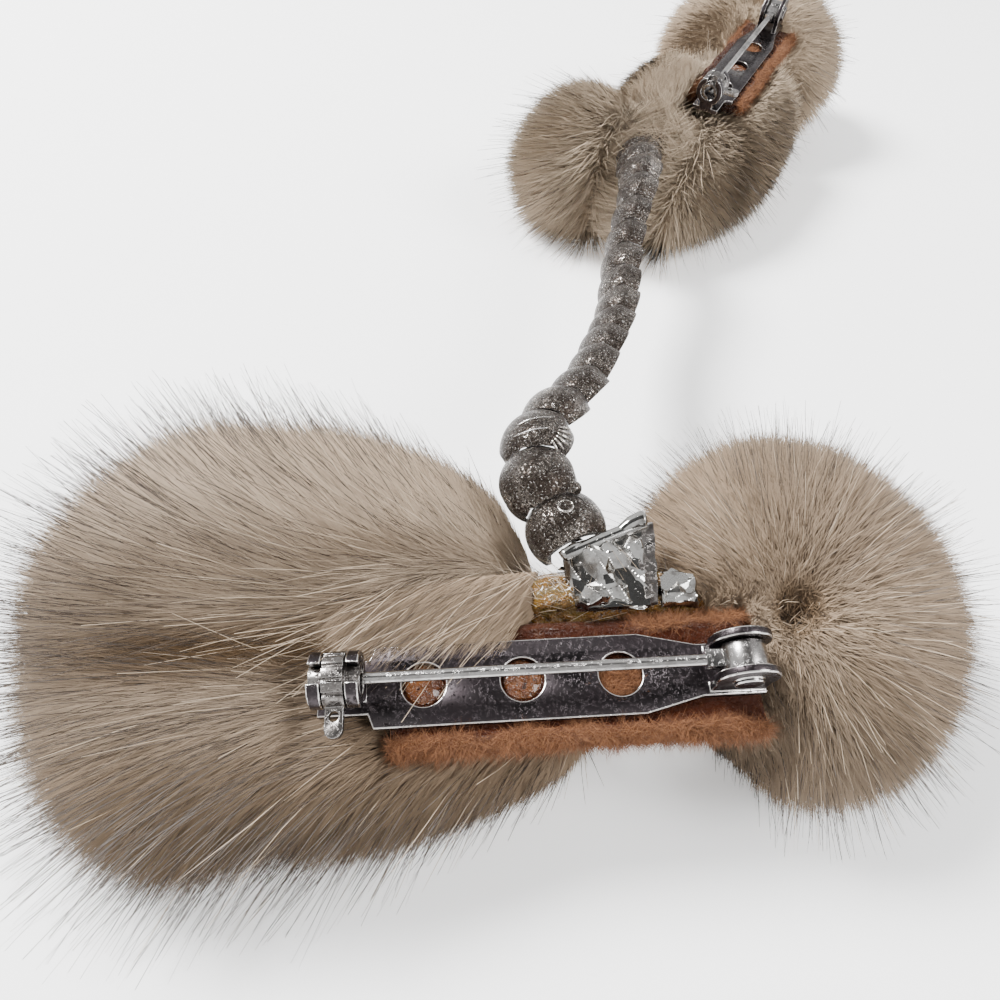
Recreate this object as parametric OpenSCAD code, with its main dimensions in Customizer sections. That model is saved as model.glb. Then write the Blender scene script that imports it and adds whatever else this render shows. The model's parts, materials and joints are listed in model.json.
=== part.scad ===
// Sweater guard: two fur brooches with bar pins, joined by a chain of domed links.
// It lies on its fur with both backs up. The near brooch is at low Y, the far one at high Y.
// Each brooch is built in its own frame: +X from catch to hinge, +Y to the chain's side,
// +Z out of the back, with Z = 0 on the felt's face. seat() puts that frame on the table.

/* [Bar pin] */
// Overall length of a bar pin, catch to hinge
pin_length = 32; // [31:0.5:33]
// Width of the stamped bar
bar_width = 5.8; // [5.4:0.1:6.2]
// Thickness of the stamped bar
bar_thickness = 0.6; // [0.5:0.05:0.7]
// Diameter of the three holes in the bar
bar_hole_d = 3.1; // [2.6:0.1:3.4]
// Spacing of the three holes
bar_hole_pitch = 7; // [6.6:0.1:7.2]
// Diameter of the pin's stem
stem_d = 0.8; // [0.7:0.05:0.85]
// Height of the stem's axis above the felt
stem_h = 2.9; // [2.8:0.05:3.1]

/* [Felt] */
// Length of the felt strip
felt_length = 26.8; // [26:0.2:28]
// Width of the felt strip
felt_width = 9.1; // [8.6:0.1:9.4]
// Thickness of the felt strip
felt_thickness = 2; // [1.6:0.1:2.2]

/* [Fur] */
// Length of a fur lock on the long lobes
lobe_lock = 6.5; // [5:0.5:8]
// Length of a fur lock on the ball
ball_lock = 4; // [3:0.5:5]
// Number of fur locks laid over each core of the long piece
lobe_locks = 36; // [30:2:60]
// Number of fur locks laid over the ball
ball_locks = 46; // [30:2:60]

/* [Chain] */
// Distance from joint to joint of the chain
link_pitch = 4.6; // [4.55:0.05:4.65]
// Radius of the sphere that a link's dome is cut from
dome_r = 3.6; // [3.5:0.05:3.7]
// Thickness of a link's dome
dome_wall = 0.35; // [0.3:0.05:0.45]
// Radius of the rings under a link, to the middle of the wire
ring_r = 0.85; // [0.8:0.05:0.9]
// Thickness of the rings' wire
ring_wire = 0.44; // [0.36:0.02:0.48]

/* [Hidden] */

NEAR = 0;
FAR = 1;
fine_fn = 48;
hull_fn = 4;
core_fn = 16;

// The whole layout is moved by this much, so that the origin is under its middle
layout = [-8.92, -89.79, 0];

// How each brooch lies. Columns: place of its frame, turn about Z, hinge end up, chain side up
PLACE = 0;
YAW = 1;
PITCH = 2;
ROLL = 3;
brooches = [
    [[3.2, 24.2, 16], 3.4, 0, 11],
    [[38.3, 128.9, 19.1], 60, 5, 5]
];

// Bar pin, along the brooch's X
catch_x = -pin_length / 2;
hinge_x = pin_length / 2 - 2.4;
body_from = catch_x + 3.9;
body_to = 6.9;
neck_at = 11.1;
neck_half = 1.9;
first_hole_x = -8.6;
ear_r = 2.2;
ear_thickness = 0.6;
ear_gap = 2;
rivet_r = 0.55;
rivet_head_r = 1;
rivet_head_h = 0.3;
knuckle_r = 1.6;
knuckle_gap = 0.15;
tongue = [2, 1.2, 0.9];
running_gap = 0.06;
point_start = -12.3;
point_r = 0.1;

// Catch: two fixed curls with the lock's ring turning between them
curl_r = 1.9;
curl_width = 0.9;
curl_slot = 1.3;
hub_r = 1.1;
hub_bore_r = 0.72;
hub_gap = 0.12;
side_gap = 0.1;
lock_ring_width = 1.4;
lock_slot = 1.15;
lock_slot_angle = 230;
lever_reach = 3.3;
lever_thickness = 0.6;
lever_eye_r = 0.35;
groove_r = 0.16;
groove_angles = [15, 45, 75, 105, 135, 270, 300, 330];

// Felt and what lies beside it
felt_x = -11.2;
felt_corner = 0.6;
glue_gap = 0.12;

// Chain: a link's frame has +X along the chain and Z = 0 at the rings' level
link_count = 19;
dome_z = -0.8;
skirt_r = 3.15;
skirt_z = -0.9;
cap_floor = -1.4;
shell_gap = 0.14;
post_r = 0.5;
spine_width = 0.9;
spine_height = 0.36;
bead_link = 1;
bead_r = 0.6;
bead_at = [-1.9, -2.7, 1.2];
route_steps = 8;

// How far each link's dome is turned to the left, in degrees: in the middle of the chain the
// domes face left
link_lean = [0, 14, 34, 54, 66, 72, 72, 72, 72, 72, 72, 72, 72, 66, 54, 42, 30, 18, 6];

// The chain's route at the rings' level: it leaves the near brooch, bends over, sags and climbs
// on to the seam of the far fur
route = [
    [6.8, 35, 16.8], [3.7, 38, 18.5], [2.6, 42.3, 19.5], [3.7, 46.8, 19],
    [6.2, 50.3, 18], [8.6, 54.2, 17.1], [10.1, 58.3, 16.6], [11.5, 62.6, 15.5],
    [12.9, 66.9, 14.8], [13.9, 71.4, 14.4], [14.5, 75.9, 14.3], [15.3, 80.5, 14.6],
    [16.3, 84.9, 15.2], [17.5, 89.3, 16.1], [18.5, 93.7, 16.9], [19, 98.3, 16.9],
    [19.2, 102.8, 16], [20.3, 107.1, 15], [22.6, 111.1, 14.9], [25, 114.8, 16],
    [26.6, 119.2, 16.7]
];

function unit(v) = v / norm(v);

function spline(a, b, c, d, t) =
    0.5 * (2 * b + (c - a) * t + (2 * a - 5 * b + 4 * c - d) * t * t
        + (3 * b - a - 3 * c + d) * t * t * t);

function route_point(i) =
    i < 0 ? 2 * route[0] - route[1]
    : i >= len(route) ? 2 * route[len(route) - 1] - route[len(route) - 2]
    : route[i];

path = [
    for (i = [0 : len(route) - 2])
        for (k = [0 : route_steps - 1])
            spline(route_point(i - 1), route_point(i), route_point(i + 1),
                route_point(i + 2), k / route_steps)
];

// The next joint is the first point of the path that lies one pitch away from this one
function first_beyond(p, i) = norm(path[i + 1] - p) >= link_pitch ? i : first_beyond(p, i + 1);

function cut_at_pitch(p, a, d) =
    let (f = a - p, qa = d * d, qb = 2 * f * d, qc = f * f - link_pitch * link_pitch)
    a + d * (sqrt(qb * qb - 4 * qa * qc) - qb) / (2 * qa);

function walk(p, i, left) =
    left == 0 ? [p]
    : let (k = first_beyond(p, i), q = cut_at_pitch(p, path[k], path[k + 1] - path[k]))
        concat([p], walk(q, k, left - 1));

joints = walk(path[0], 0, link_count);

// A link with no lean has its dome turned upwards and a little to the near side
view_up = [0, -0.17, 1];

function link_dir(i) = unit(joints[i + 1] - joints[i]);

function link_up(i) =
    let (t = link_dir(i), u = unit(view_up - (view_up * t) * t))
    cos(link_lean[i]) * u + sin(link_lean[i]) * cross(u, t);

module seat(b) {
    translate(layout + brooches[b][PLACE])
        rotate([0, 0, brooches[b][YAW]])
            rotate([0, -brooches[b][PITCH], 0])
                rotate([brooches[b][ROLL], 0, 0])
                    children();
}

// Frame with origin o, X along t and Z along up
module aim(o, t, up) {
    s = cross(up, t);
    multmatrix([
        [t.x, s.x, up.x, o.x + layout.x],
        [t.y, s.y, up.y, o.y + layout.y],
        [t.z, s.z, up.z, o.z + layout.z]
    ])
        children();
}

// A straight round bar between two points
module rod(a, b, r) {
    d = b - a;
    translate(a)
        rotate([0, acos(d.z / norm(d)), atan2(d.y, d.x)])
            cylinder(h = norm(d), r = r, $fn = fine_fn);
}

// A cylinder along the brooch's X
module along_x(x0, x1, r) {
    translate([x0, 0, 0])
        rotate([0, 90, 0])
            cylinder(h = x1 - x0, r = r, $fn = fine_fn);
}

module torus(r, wire) {
    rotate_extrude($fn = fine_fn)
        translate([r, 0])
            circle(d = wire, $fn = 24);
}

// Fur locks are bent, tapering tufts: two hulls from a thick root to a thin tip
lobe_lock_r = 2.3;
ball_lock_r = 2.1;
lock_taper = 0.62;
lock_tip_r = 0.14;
lock_bend = 0.7;
root_depth = 0.9;

module lock(root, dir, nap, len, width) {
    mid = root + dir * len * 0.5;
    tip = mid + unit(dir + nap * lock_bend) * len * 0.55;
    hull() {
        translate(root) sphere(width, $fn = hull_fn);
        translate(mid) sphere(width * lock_taper, $fn = hull_fn);
    }
    hull() {
        translate(mid) sphere(width * lock_taper, $fn = hull_fn);
        translate(tip) sphere(lock_tip_r, $fn = hull_fn);
    }
}

// Places spread evenly over a sphere, each turned on by the golden angle
golden = 137.508;

function spiral(k, n) =
    let (z = 1 - 2 * (k + 0.5) / n, r = sqrt(1 - z * z))
    [r * cos(k * golden), r * sin(k * golden), z];

function scaled(u, radii) = [u.x * radii.x, u.y * radii.y, u.z * radii.z];

// No lock starts where the catch, the far tab or the gap beside the ball would cut its tip off
pin_reach = [8, 8.5, 7];
last_root_x = 1.5;

function clear_of_pin(p) =
    p.x < last_root_x
    && (p.x < catch_x - pin_reach.x || abs(p.y - 1) > pin_reach.y || p.z < -pin_reach.z);

// Every lock of a lobe leans outwards, away from the pin, and fans a little
module lobe(core, count, seed) {
    centre = core[CENTRE];
    radii = core[RADII];
    jitter = rands(0.8, 1.2, count, seed);
    translate(centre) scale(radii) sphere(1, $fn = core_fn);
    for (k = [0 : count - 1]) {
        u = spiral(k, count);
        normal = unit([u.x / radii.x, u.y / radii.y, u.z / radii.z]);
        nap = unit([-1, 0.4 * u.y, 0.2 * u.z]);
        root = centre + root_depth * scaled(u, radii);
        if (normal * nap > -0.55 && clear_of_pin(root))
            lock(root, unit(0.55 * normal + nap), nap, lobe_lock * jitter[k], lobe_lock_r);
    }
}

// The ball's locks run away from the hole at its pole, over the side and under
bald_r = 3;

module ball(centre, radii, pole, seed) {
    jitter = rands(0.75, 1.25, ball_locks, seed);
    translate(centre) scale(radii) sphere(1, $fn = core_fn);
    for (k = [0 : ball_locks - 1]) {
        u = spiral(k, ball_locks);
        normal = unit([u.x / radii.x, u.y / radii.y, u.z / radii.z]);
        root = centre + root_depth * scaled(u, radii);
        nap = unit(root - pole);
        if (norm(root - pole) > bald_r)
            lock(root, unit(normal + 0.5 * nap), nap, ball_lock * jitter[k], ball_lock_r);
    }
}

// What the fur keeps clear of, each open upwards as far as far_up
fur_gap = 0.2;
far_up = 40;

// The felt with its bar, and the catch with its lock turning in it
module pin_space() {
    translate([felt_x - fur_gap, -felt_width / 2 - fur_gap, -felt_thickness - fur_gap])
        cube([felt_length + 2 * fur_gap, felt_width + 2 * fur_gap, far_up]);
    translate([catch_x - 1.2, -4.7, -1.6])
        cube([6, 9.4, far_up]);
}

// The chain: a channel round its links, with room for the rings at both ends
channel_r = 3.7;
channel_lift = 0.4;
end_ring_room = 2.4;

module chain_space() {
    for (i = [0 : link_count - 2])
        hull()
            for (k = [i, i + 1]) {
                middle = layout + (joints[k] + joints[k + 1]) / 2 + channel_lift * link_up(k);
                translate(middle) sphere(channel_r, $fn = 12);
                translate(middle + [0, 0, far_up / 3]) sphere(channel_r, $fn = 8);
            }
    for (k = [0, link_count])
        translate(layout + joints[k]) sphere(end_ring_room, $fn = 12);
}

module below_table() {
    translate([-200, -200, -60]) cube([400, 400, 60]);
}

// Cores of the fur, near brooch first: two lobes side by side, joined by a blunt outer end,
// and the ball. Columns: centre, radii
CENTRE = 0;
RADII = 1;
lobe_cores = [
    [
        [[-19.7, 11, -8.2], [20.7, 13.2, 9.2]],
        [[-15, -0.8, -8.5], [20.5, 7, 8.3]],
        [[-26.9, 8.2, -8.6], [12.3, 17.2, 8.8]]
    ],
    [
        [[-8, 8.2, -8.2], [13, 7.4, 9.2]],
        [[0.3, 0, -8.5], [31.3, 11.3, 8.3]],
        [[-22.9, 14.8, -8.4], [11.3, 9.4, 9.2]]
    ]
];
ball_cores = [
    [[22, 7, -7.2], [12, 14.2, 9.8]],
    [[20.8, 3.4, -7.2], [15, 14.6, 9.8]]
];
ball_pole = [19.4, 4, 0.4];
ball_hole_r = 0.8;
ball_hole_depth = 3.5;
dimple_r = 3.6;
lobes_end = 4.6;
ball_start = 7.2;

// The far fur is deeper by this much, because its brooch lies higher
fur_depth = [0.6, 4];

function deeper(core, b) =
    [core[CENTRE] - [0, 0, fur_depth[b] / 2], core[RADII] + [0, 0, fur_depth[b] / 2]];

module fur_lobes(b, seed) {
    color("tan")
        difference() {
            seat(b)
                difference() {
                    for (k = [0 : 2])
                        lobe(deeper(lobe_cores[b][k], b), lobe_locks, seed + k);
                    pin_space();
                    tab_space(b);
                    translate([lobes_end, -far_up, -far_up]) cube(2 * far_up);
                }
            chain_space();
            below_table();
        }
}

module fur_ball(b, seed) {
    core = deeper(ball_cores[b], b);
    color("tan")
        difference() {
            seat(b)
                difference() {
                    ball(core[CENTRE], core[RADII], ball_pole, seed);
                    pin_space();
                    tab_space(b);
                    translate([ball_start - 2 * far_up, -far_up, -far_up])
                        cube(2 * far_up);
                    translate(ball_pole + [0, 0, dimple_r - 0.2])
                        sphere(dimple_r, $fn = 16);
                    translate(ball_pole - [0, 0, ball_hole_depth])
                        cylinder(h = 2 * ball_hole_depth, r = ball_hole_r, $fn = 10);
                }
            below_table();
        }
}

// Felt and glue

module felt(b) {
    x0 = felt_x;
    x1 = felt_x + felt_length;
    y1 = felt_width / 2;
    c = felt_corner;
    color("sienna")
        seat(b)
            translate([0, 0, -felt_thickness])
                linear_extrude(felt_thickness)
                    polygon([
                        [x0 + c, -y1], [x1 - c, -y1], [x1, c - y1], [x1, y1 - c],
                        [x1 - c, y1], [x0 + c, y1], [x0, y1 - c], [x0, c - y1]
                    ]);
}

// A flat blob of glue with round ends, from x0 to x1 beside the felt
module glue_blob(x0, x1, width, z0, height) {
    r = width / 2;
    y = felt_width / 2 + glue_gap + r;
    translate([0, 0, z0])
        linear_extrude(height) {
            translate([x0 + r, y]) circle(r, $fn = fine_fn);
            translate([x1 - r, y]) circle(r, $fn = fine_fn);
            translate([x0 + r, y - r]) square([x1 - x0 - width, width]);
        }
}

module near_glue() {
    color("goldenrod")
        seat(NEAR)
            glue_blob(-2.6, 12.6, 2.7, -1.8, 1.7);
}

module far_glue() {
    color("goldenrod")
        seat(FAR)
            glue_blob(-12.2, -3.4, 3.5, -3.4, 1.4);
}

// Bar pin

module bar_outline() {
    half = bar_width / 2;
    difference() {
        polygon([
            [catch_x, -neck_half], [body_from - 0.4, -neck_half], [body_from, -half],
            [body_to, -half], [neck_at, -neck_half], [hinge_x + 2, -neck_half],
            [hinge_x + 2, neck_half], [neck_at, neck_half], [body_to, half],
            [body_from, half], [body_from - 0.4, neck_half], [catch_x, neck_half]
        ]);
        for (k = [0 : 2])
            translate([first_hole_x + k * bar_hole_pitch, 0])
                circle(d = bar_hole_d, $fn = fine_fn);
    }
}

// Upright ear of the hinge, with its inner face at y
module ear(y) {
    translate([hinge_x, y + ear_thickness, 0])
        rotate([90, 0, 0])
            linear_extrude(ear_thickness) {
                translate([0, stem_h]) circle(ear_r, $fn = fine_fn);
                translate([-2, bar_thickness / 2]) square([4, stem_h - bar_thickness / 2]);
            }
}

module rivet() {
    out = ear_gap / 2 + ear_thickness;
    translate([hinge_x, 0, stem_h])
        rotate([90, 0, 0]) {
            cylinder(h = 2 * out, r = rivet_r, center = true, $fn = fine_fn);
            for (side = [-1, 1])
                translate([0, 0, side * (out + rivet_head_h / 2 - 0.05)])
                    cylinder(h = rivet_head_h + 0.1, r = rivet_head_r, center = true,
                        $fn = fine_fn);
        }
}

// Fixed curl of the catch, open at the top for the stem, on its foot
module curl(x) {
    difference() {
        union() {
            translate([0, 0, stem_h]) along_x(x, x + curl_width, curl_r);
            translate([x, -neck_half / 2, bar_thickness / 2])
                cube([curl_width, neck_half, stem_h - hub_r - bar_thickness / 2 - 0.5]);
        }
        translate([0, 0, stem_h]) along_x(x - 1, x + 2, hub_r + hub_gap);
        translate([x - 1, -curl_slot / 2, stem_h]) cube([3, curl_slot, 3]);
    }
}

lock_ring_x = catch_x + curl_width + side_gap;
second_curl_x = lock_ring_x + lock_ring_width + side_gap;

module pin_bar(b) {
    color("silver")
        seat(b) {
            linear_extrude(bar_thickness) bar_outline();
            ear(ear_gap / 2);
            ear(-ear_gap / 2 - ear_thickness);
            rivet();
            curl(catch_x);
            curl(second_curl_x);
        }
}

// The stem: a wire with a flat tongue that turns on the rivet
module pin_stem(b) {
    tip_x = catch_x + 0.15;
    neck_x = hinge_x - 0.7 - tongue.x;
    knuckle_w = ear_gap - 2 * knuckle_gap;
    color("gainsboro")
        seat(b)
            translate([0, 0, stem_h])
                difference() {
                    union() {
                        along_x(point_start, neck_x + 0.5, stem_d / 2);
                        translate([tip_x, 0, 0])
                            rotate([0, 90, 0])
                                cylinder(h = point_start - tip_x, r1 = point_r,
                                    r2 = stem_d / 2, $fn = fine_fn);
                        translate([neck_x, -tongue.y / 2, -tongue.z / 2]) cube(tongue);
                        translate([hinge_x, 0, 0])
                            rotate([90, 0, 0])
                                cylinder(h = knuckle_w, r = knuckle_r, center = true,
                                    $fn = fine_fn);
                    }
                    translate([hinge_x, 0, 0])
                        rotate([90, 0, 0])
                            cylinder(h = 4, r = rivet_r + running_gap, center = true,
                                $fn = fine_fn);
                }
}

// The lock: a slotted hub through both curls, a grooved ring between them and a lever with an eye
module catch_lock(b) {
    lever_y = -lever_reach;
    lever_x = lock_ring_x + lock_ring_width / 2;
    color("lightgray")
        seat(b)
            translate([0, 0, stem_h])
                difference() {
                    union() {
                        along_x(catch_x, second_curl_x + curl_width, hub_r);
                        along_x(lock_ring_x, lock_ring_x + lock_ring_width, curl_r);
                        translate([lever_x - 0.6, lever_y, -lever_thickness / 2])
                            cube([1.2, lever_reach - hub_r, lever_thickness]);
                        translate([lever_x, lever_y, 0])
                            cylinder(h = lever_thickness, r = 0.6, center = true, $fn = fine_fn);
                    }
                    along_x(catch_x - 1, second_curl_x + curl_width + 1, hub_bore_r);
                    rotate([lock_slot_angle, 0, 0])
                        translate([catch_x - 1, 0, -lock_slot / 2])
                            cube([second_curl_x + curl_width + 2 - catch_x, 3, lock_slot]);
                    for (a = groove_angles)
                        rotate([a, 0, 0])
                            translate([0, curl_r, 0])
                                along_x(catch_x, second_curl_x + 1, groove_r);
                    translate([lever_x, lever_y + 0.8, 0])
                        cylinder(h = 2, r = lever_eye_r, center = true, $fn = fine_fn);
                }
}

// Chain and its end tabs

// Ring at a joint, seen from the link whose frame it is in. dir is +1 where the link lies on +X
module end_ring(x, dir, upright) {
    translate([x + dir * ring_r / 2, 0, 0])
        rotate([upright ? 90 : 0, 0, 0])
            torus(ring_r, ring_wire);
}

// The frame of a link: its origin is midway between its two joints
module on_link(i) {
    aim((joints[i] + joints[i + 1]) / 2, link_dir(i), link_up(i))
        children();
}

// A link's dome as a solid with a straight skirt, larger all round by grow, down to the floor
module dome_body(i, grow, floor) {
    on_link(i)
        intersection() {
            translate([0, 0, dome_z])
                sphere(dome_r + grow, $fn = fine_fn);
            translate([0, 0, floor])
                cylinder(h = 6, r = skirt_r + grow, $fn = fine_fn);
        }
}

// A domed shell, open below. It stops short of the neighbour that overlaps it, the ring of
// the next link or the far tab, and the tabs where they pass under it. One link carries a bead
module dome_shell(i) {
    difference() {
        union() {
            difference() {
                dome_body(i, 0, skirt_z);
                dome_body(i, -dome_wall, skirt_z - 1);
            }
            if (i == bead_link)
                on_link(i)
                    translate(bead_at) sphere(bead_r, $fn = 24);
        }
        if (i > 0)
            dome_body(i - 1, shell_gap, cap_floor);
        on_link(min(i + 1, link_count - 1))
            translate([i < link_count - 1 ? 0 : link_pitch, 0, 0])
                ring_room();
        if (i == 0)
            seat(NEAR)
                under_lip();
        if (i == link_count - 1)
            seat(FAR)
                far_tab_room();
    }
}

// What carries the shell: a post on a spine with a ring at either end
module link_frame(i) {
    half = link_pitch / 2;
    dome_top = dome_z + dome_r;
    on_link(i) {
        translate([0, 0, -spine_height / 2])
            cylinder(h = dome_top - dome_wall / 2 + spine_height / 2, r = post_r,
                $fn = fine_fn);
        translate([ring_r * 1.5 - half, -spine_width / 2, -spine_height / 2])
            cube([link_pitch - ring_r * 3, spine_width, spine_height]);
        end_ring(-half, 1, true);
        end_ring(half, -1, false);
    }
}

module chain_link(i) {
    color("dimgray") {
        dome_shell(i);
        link_frame(i);
    }
}

// Room for a link's first ring and spine in the dome that covers them
module ring_room() {
    translate([(ring_r - link_pitch) / 2, 0, 0])
        rotate([90, 0, 0])
            cylinder(h = ring_wire + 2 * shell_gap, r = ring_r + ring_wire / 2 + shell_gap,
                center = true, $fn = fine_fn);
    translate([-link_pitch / 2, -spine_width / 2 - shell_gap, -3])
        cube([2, spine_width + 2 * shell_gap, 3 + spine_height / 2 + 2 * shell_gap]);
}

// The near tab's rolled lip, a rod that the plate ends at
lip_from = [2.3, 9.3, 0.7];
lip_to = [8.8, 11.8, 0.7];
lip_r = 0.6;
tab_z = 0.1;
tab_thickness = 0.7;
tab_post_r = 0.32;
chip_thickness = 0.6;
far_tab_z = -1.88;

// All that lies on the brooch's side of the lip and a small gap
module under_lip() {
    along = lip_to - lip_from;
    translate([lip_from.x, lip_from.y, -2])
        rotate([0, 0, atan2(along.y, along.x)])
            translate([-6, -10, 0])
                cube([20, 10 + lip_r + shell_gap, 10]);
}

// The end ring of a tab, hung from a short post at its back
module tab_ring(joint, dir, i, upright, post_h) {
    aim(joints[joint], link_dir(i), link_up(i)) {
        end_ring(0, dir, upright);
        translate([dir * 1.5 * ring_r, 0, -ring_wire / 3])
            cylinder(h = post_h, r = tab_post_r, $fn = 24);
    }
}

module near_chain_tab() {
    color("gainsboro") {
        seat(NEAR) {
            translate([0, 0, tab_z])
                linear_extrude(tab_thickness)
                    polygon([[2.8, 4.95], [8.3, 4.95], [8.5, 11.6], [2.6, 9.35]]);
            rod(lip_from, lip_to, lip_r);
        }
        tab_ring(0, -1, 0, false, 2.1);
    }
}

module near_tab_chip() {
    color("gainsboro")
        seat(NEAR)
            translate([0, 0, tab_z])
                linear_extrude(chip_thickness)
                    polygon([[9.3, 5.2], [11.6, 5.1], [12, 6.9], [10.4, 7.9], [9.4, 7.2]]);
}

// The far tab lies in the fur beside the catch and reaches the felt's edge
module far_tab_outline() {
    polygon([
        [-18, 3.6], [-11.5, 4], [-11.5, 4.72], [-5.4, 4.72], [-5.8, 7.6], [-11.6, 8.4],
        [-17.6, 6.2]
    ]);
}

// All below the far tab's upper face and a small gap
module far_tab_room() {
    translate([0, 0, far_tab_z - 4])
        linear_extrude(4 + tab_thickness + shell_gap)
            offset(delta = shell_gap)
                far_tab_outline();
}

module far_chain_tab() {
    color("gainsboro") {
        seat(FAR)
            translate([0, 0, far_tab_z])
                linear_extrude(tab_thickness)
                    far_tab_outline();
        tab_ring(link_count, 1, link_count - 1, true, 0.6);
    }
}

// Room for the tab, and for the glue beside the felt
module tab_space(b) {
    if (b == NEAR) {
        translate([1.6, 4, -2.1]) cube([8.2, 9.2, far_up]);
        translate([-3, 4, -2.1]) cube([16.2, 4.6, far_up]);
    }
    if (b == FAR) {
        translate([-19, 2.6, -2.2]) cube([8, 6.6, far_up]);
        translate([-13, 4, -3.7]) cube([10.2, 6, far_up]);
    }
}

fur_lobes(NEAR, 11);  // near_fur_lobes
fur_ball(NEAR, 21);  // near_fur_ball
felt(NEAR);  // near_felt
pin_bar(NEAR);  // near_pin_bar
pin_stem(NEAR);  // near_pin_stem
catch_lock(NEAR);  // near_catch_lock
near_glue();
near_chain_tab();
near_tab_chip();
fur_lobes(FAR, 31);  // far_fur_lobes
fur_ball(FAR, 41);  // far_fur_ball
felt(FAR);  // far_felt
pin_bar(FAR);  // far_pin_bar
pin_stem(FAR);  // far_pin_stem
catch_lock(FAR);  // far_catch_lock
far_glue();
far_chain_tab();
chain_link(0);  // link_01
chain_link(1);  // link_02
chain_link(2);  // link_03
chain_link(3);  // link_04
chain_link(4);  // link_05
chain_link(5);  // link_06
chain_link(6);  // link_07
chain_link(7);  // link_08
chain_link(8);  // link_09
chain_link(9);  // link_10
chain_link(10);  // link_11
chain_link(11);  // link_12
chain_link(12);  // link_13
chain_link(13);  // link_14
chain_link(14);  // link_15
chain_link(15);  // link_16
chain_link(16);  // link_17
chain_link(17);  // link_18
chain_link(18);  // link_19
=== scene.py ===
# %% [markdown]
# # Sweater guard
# Two fur brooches joined by a short chain of domed links. Each brooch is a felt strip that
# carries a bar pin with a safety catch, and the fur is glued round it. The guard lies on its fur
# with both pins up. Sizes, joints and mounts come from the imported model. Here each piece gets
# the look of the real one: fur, felt, glue, worn steel and dark silver.

# %% Load the frame
import json
import math

import bmesh
import bpy
import numpy as np
from mathutils import Matrix, Vector, noise


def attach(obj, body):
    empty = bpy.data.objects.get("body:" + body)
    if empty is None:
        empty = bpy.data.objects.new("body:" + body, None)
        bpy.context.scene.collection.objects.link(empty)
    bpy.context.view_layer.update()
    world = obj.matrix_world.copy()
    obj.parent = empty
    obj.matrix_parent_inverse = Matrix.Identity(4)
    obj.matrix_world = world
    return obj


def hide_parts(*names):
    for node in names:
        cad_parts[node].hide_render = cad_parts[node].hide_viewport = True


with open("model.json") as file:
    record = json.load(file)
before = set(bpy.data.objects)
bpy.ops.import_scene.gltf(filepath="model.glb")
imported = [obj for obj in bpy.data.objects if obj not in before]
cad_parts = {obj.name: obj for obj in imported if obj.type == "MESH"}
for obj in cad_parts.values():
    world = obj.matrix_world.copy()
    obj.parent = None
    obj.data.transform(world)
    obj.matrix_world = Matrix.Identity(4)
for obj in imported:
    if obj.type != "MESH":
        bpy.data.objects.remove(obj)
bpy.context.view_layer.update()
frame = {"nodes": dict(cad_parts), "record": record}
MM = 0.001

# %% [markdown]
# The picture was taken from low over the near brooch, so the near fur looks large and the far
# brooch small. A short lens close to the thing gives the same strong perspective. The camera
# stands over the front edge of the near brooch and looks 50 degrees down.

# %% Camera
# The foot of the camera on the table. Both brooches are placed from here, in millimetres.
LAYOUT = Vector((-8.92, -89.79, 0))
CAMERA_HEIGHT = 64.9
LOOKS_DOWN = 50

cam_data = bpy.data.cameras.new("camera")
cam_data.lens = 26.64
cam_data.sensor_width = 36
cam_data.clip_start = 0.005
cam_data.clip_end = 20
camera = bpy.data.objects.new("camera", cam_data)
camera.location = (LAYOUT + Vector((0, 0, CAMERA_HEIGHT))) * MM
camera.rotation_euler = (math.radians(90 - LOOKS_DOWN), 0, 0)
bpy.context.scene.collection.objects.link(camera)
bpy.context.scene.camera = camera
print("camera at", [round(v, 4) for v in camera.location])

# %% [markdown]
# Fur shows its depth only in soft light with one clear side. A large lamp stands at the upper
# left, a weaker one fills from the right, and a pale world lights the shadows. The floor is
# plain and glows a little, like paper lit from below. Polished metal is only as good as what it
# mirrors, and in an all-white room it looks like plastic: so a dark card hangs overhead, out of
# the picture, for the flat parts to mirror.

# %% Helpers for meshes and materials
def add_object(name, data):
    thing = bpy.data.objects.new(name, data)
    bpy.context.scene.collection.objects.link(thing)
    return thing


def make_mesh(name, vertices, faces):
    mesh = bpy.data.meshes.new(name)
    mesh.from_pydata([tuple(v) for v in vertices], [], [tuple(f) for f in faces])
    mesh.update()
    return add_object(name, mesh)


def mesh_from(bm, name):
    """Writes an edited mesh out under a name and frees it."""
    mesh = bpy.data.meshes.new(name)
    bm.to_mesh(mesh)
    bm.free()
    return mesh


def put(tree, kind, inputs=None, **settings):
    """Adds a node. Inputs are given by name or by number, as values, sockets or nodes."""
    node = tree.nodes.new(kind)
    for name, value in settings.items():
        setattr(node, name, value)
    for name, value in (inputs or {}).items():
        socket = node.inputs[name] if isinstance(name, int) else first(node.inputs, name)
        if isinstance(value, bpy.types.Node):
            value = first(value.outputs)
        if isinstance(value, bpy.types.NodeSocket):
            tree.links.new(value, socket)
        else:
            socket.default_value = value
    return node


def first(sockets, name=None):
    return next(s for s in sockets if s.enabled and name in (None, s.name))


def new_material(name, color, roughness, **constants):
    """A material with one Principled shader. Returns the material, its tree and the shader."""
    material = bpy.data.materials.new(name)
    material.use_nodes = True
    tree = material.node_tree
    shader = tree.nodes["Principled BSDF"]
    shader.inputs["Base Color"].default_value = (*color, 1)
    shader.inputs["Roughness"].default_value = roughness
    for key, value in constants.items():
        shader.inputs[key.replace("_", " ")].default_value = value
    return material, tree, shader


print("helpers ready for", len(frame["nodes"]), "solids")

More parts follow.
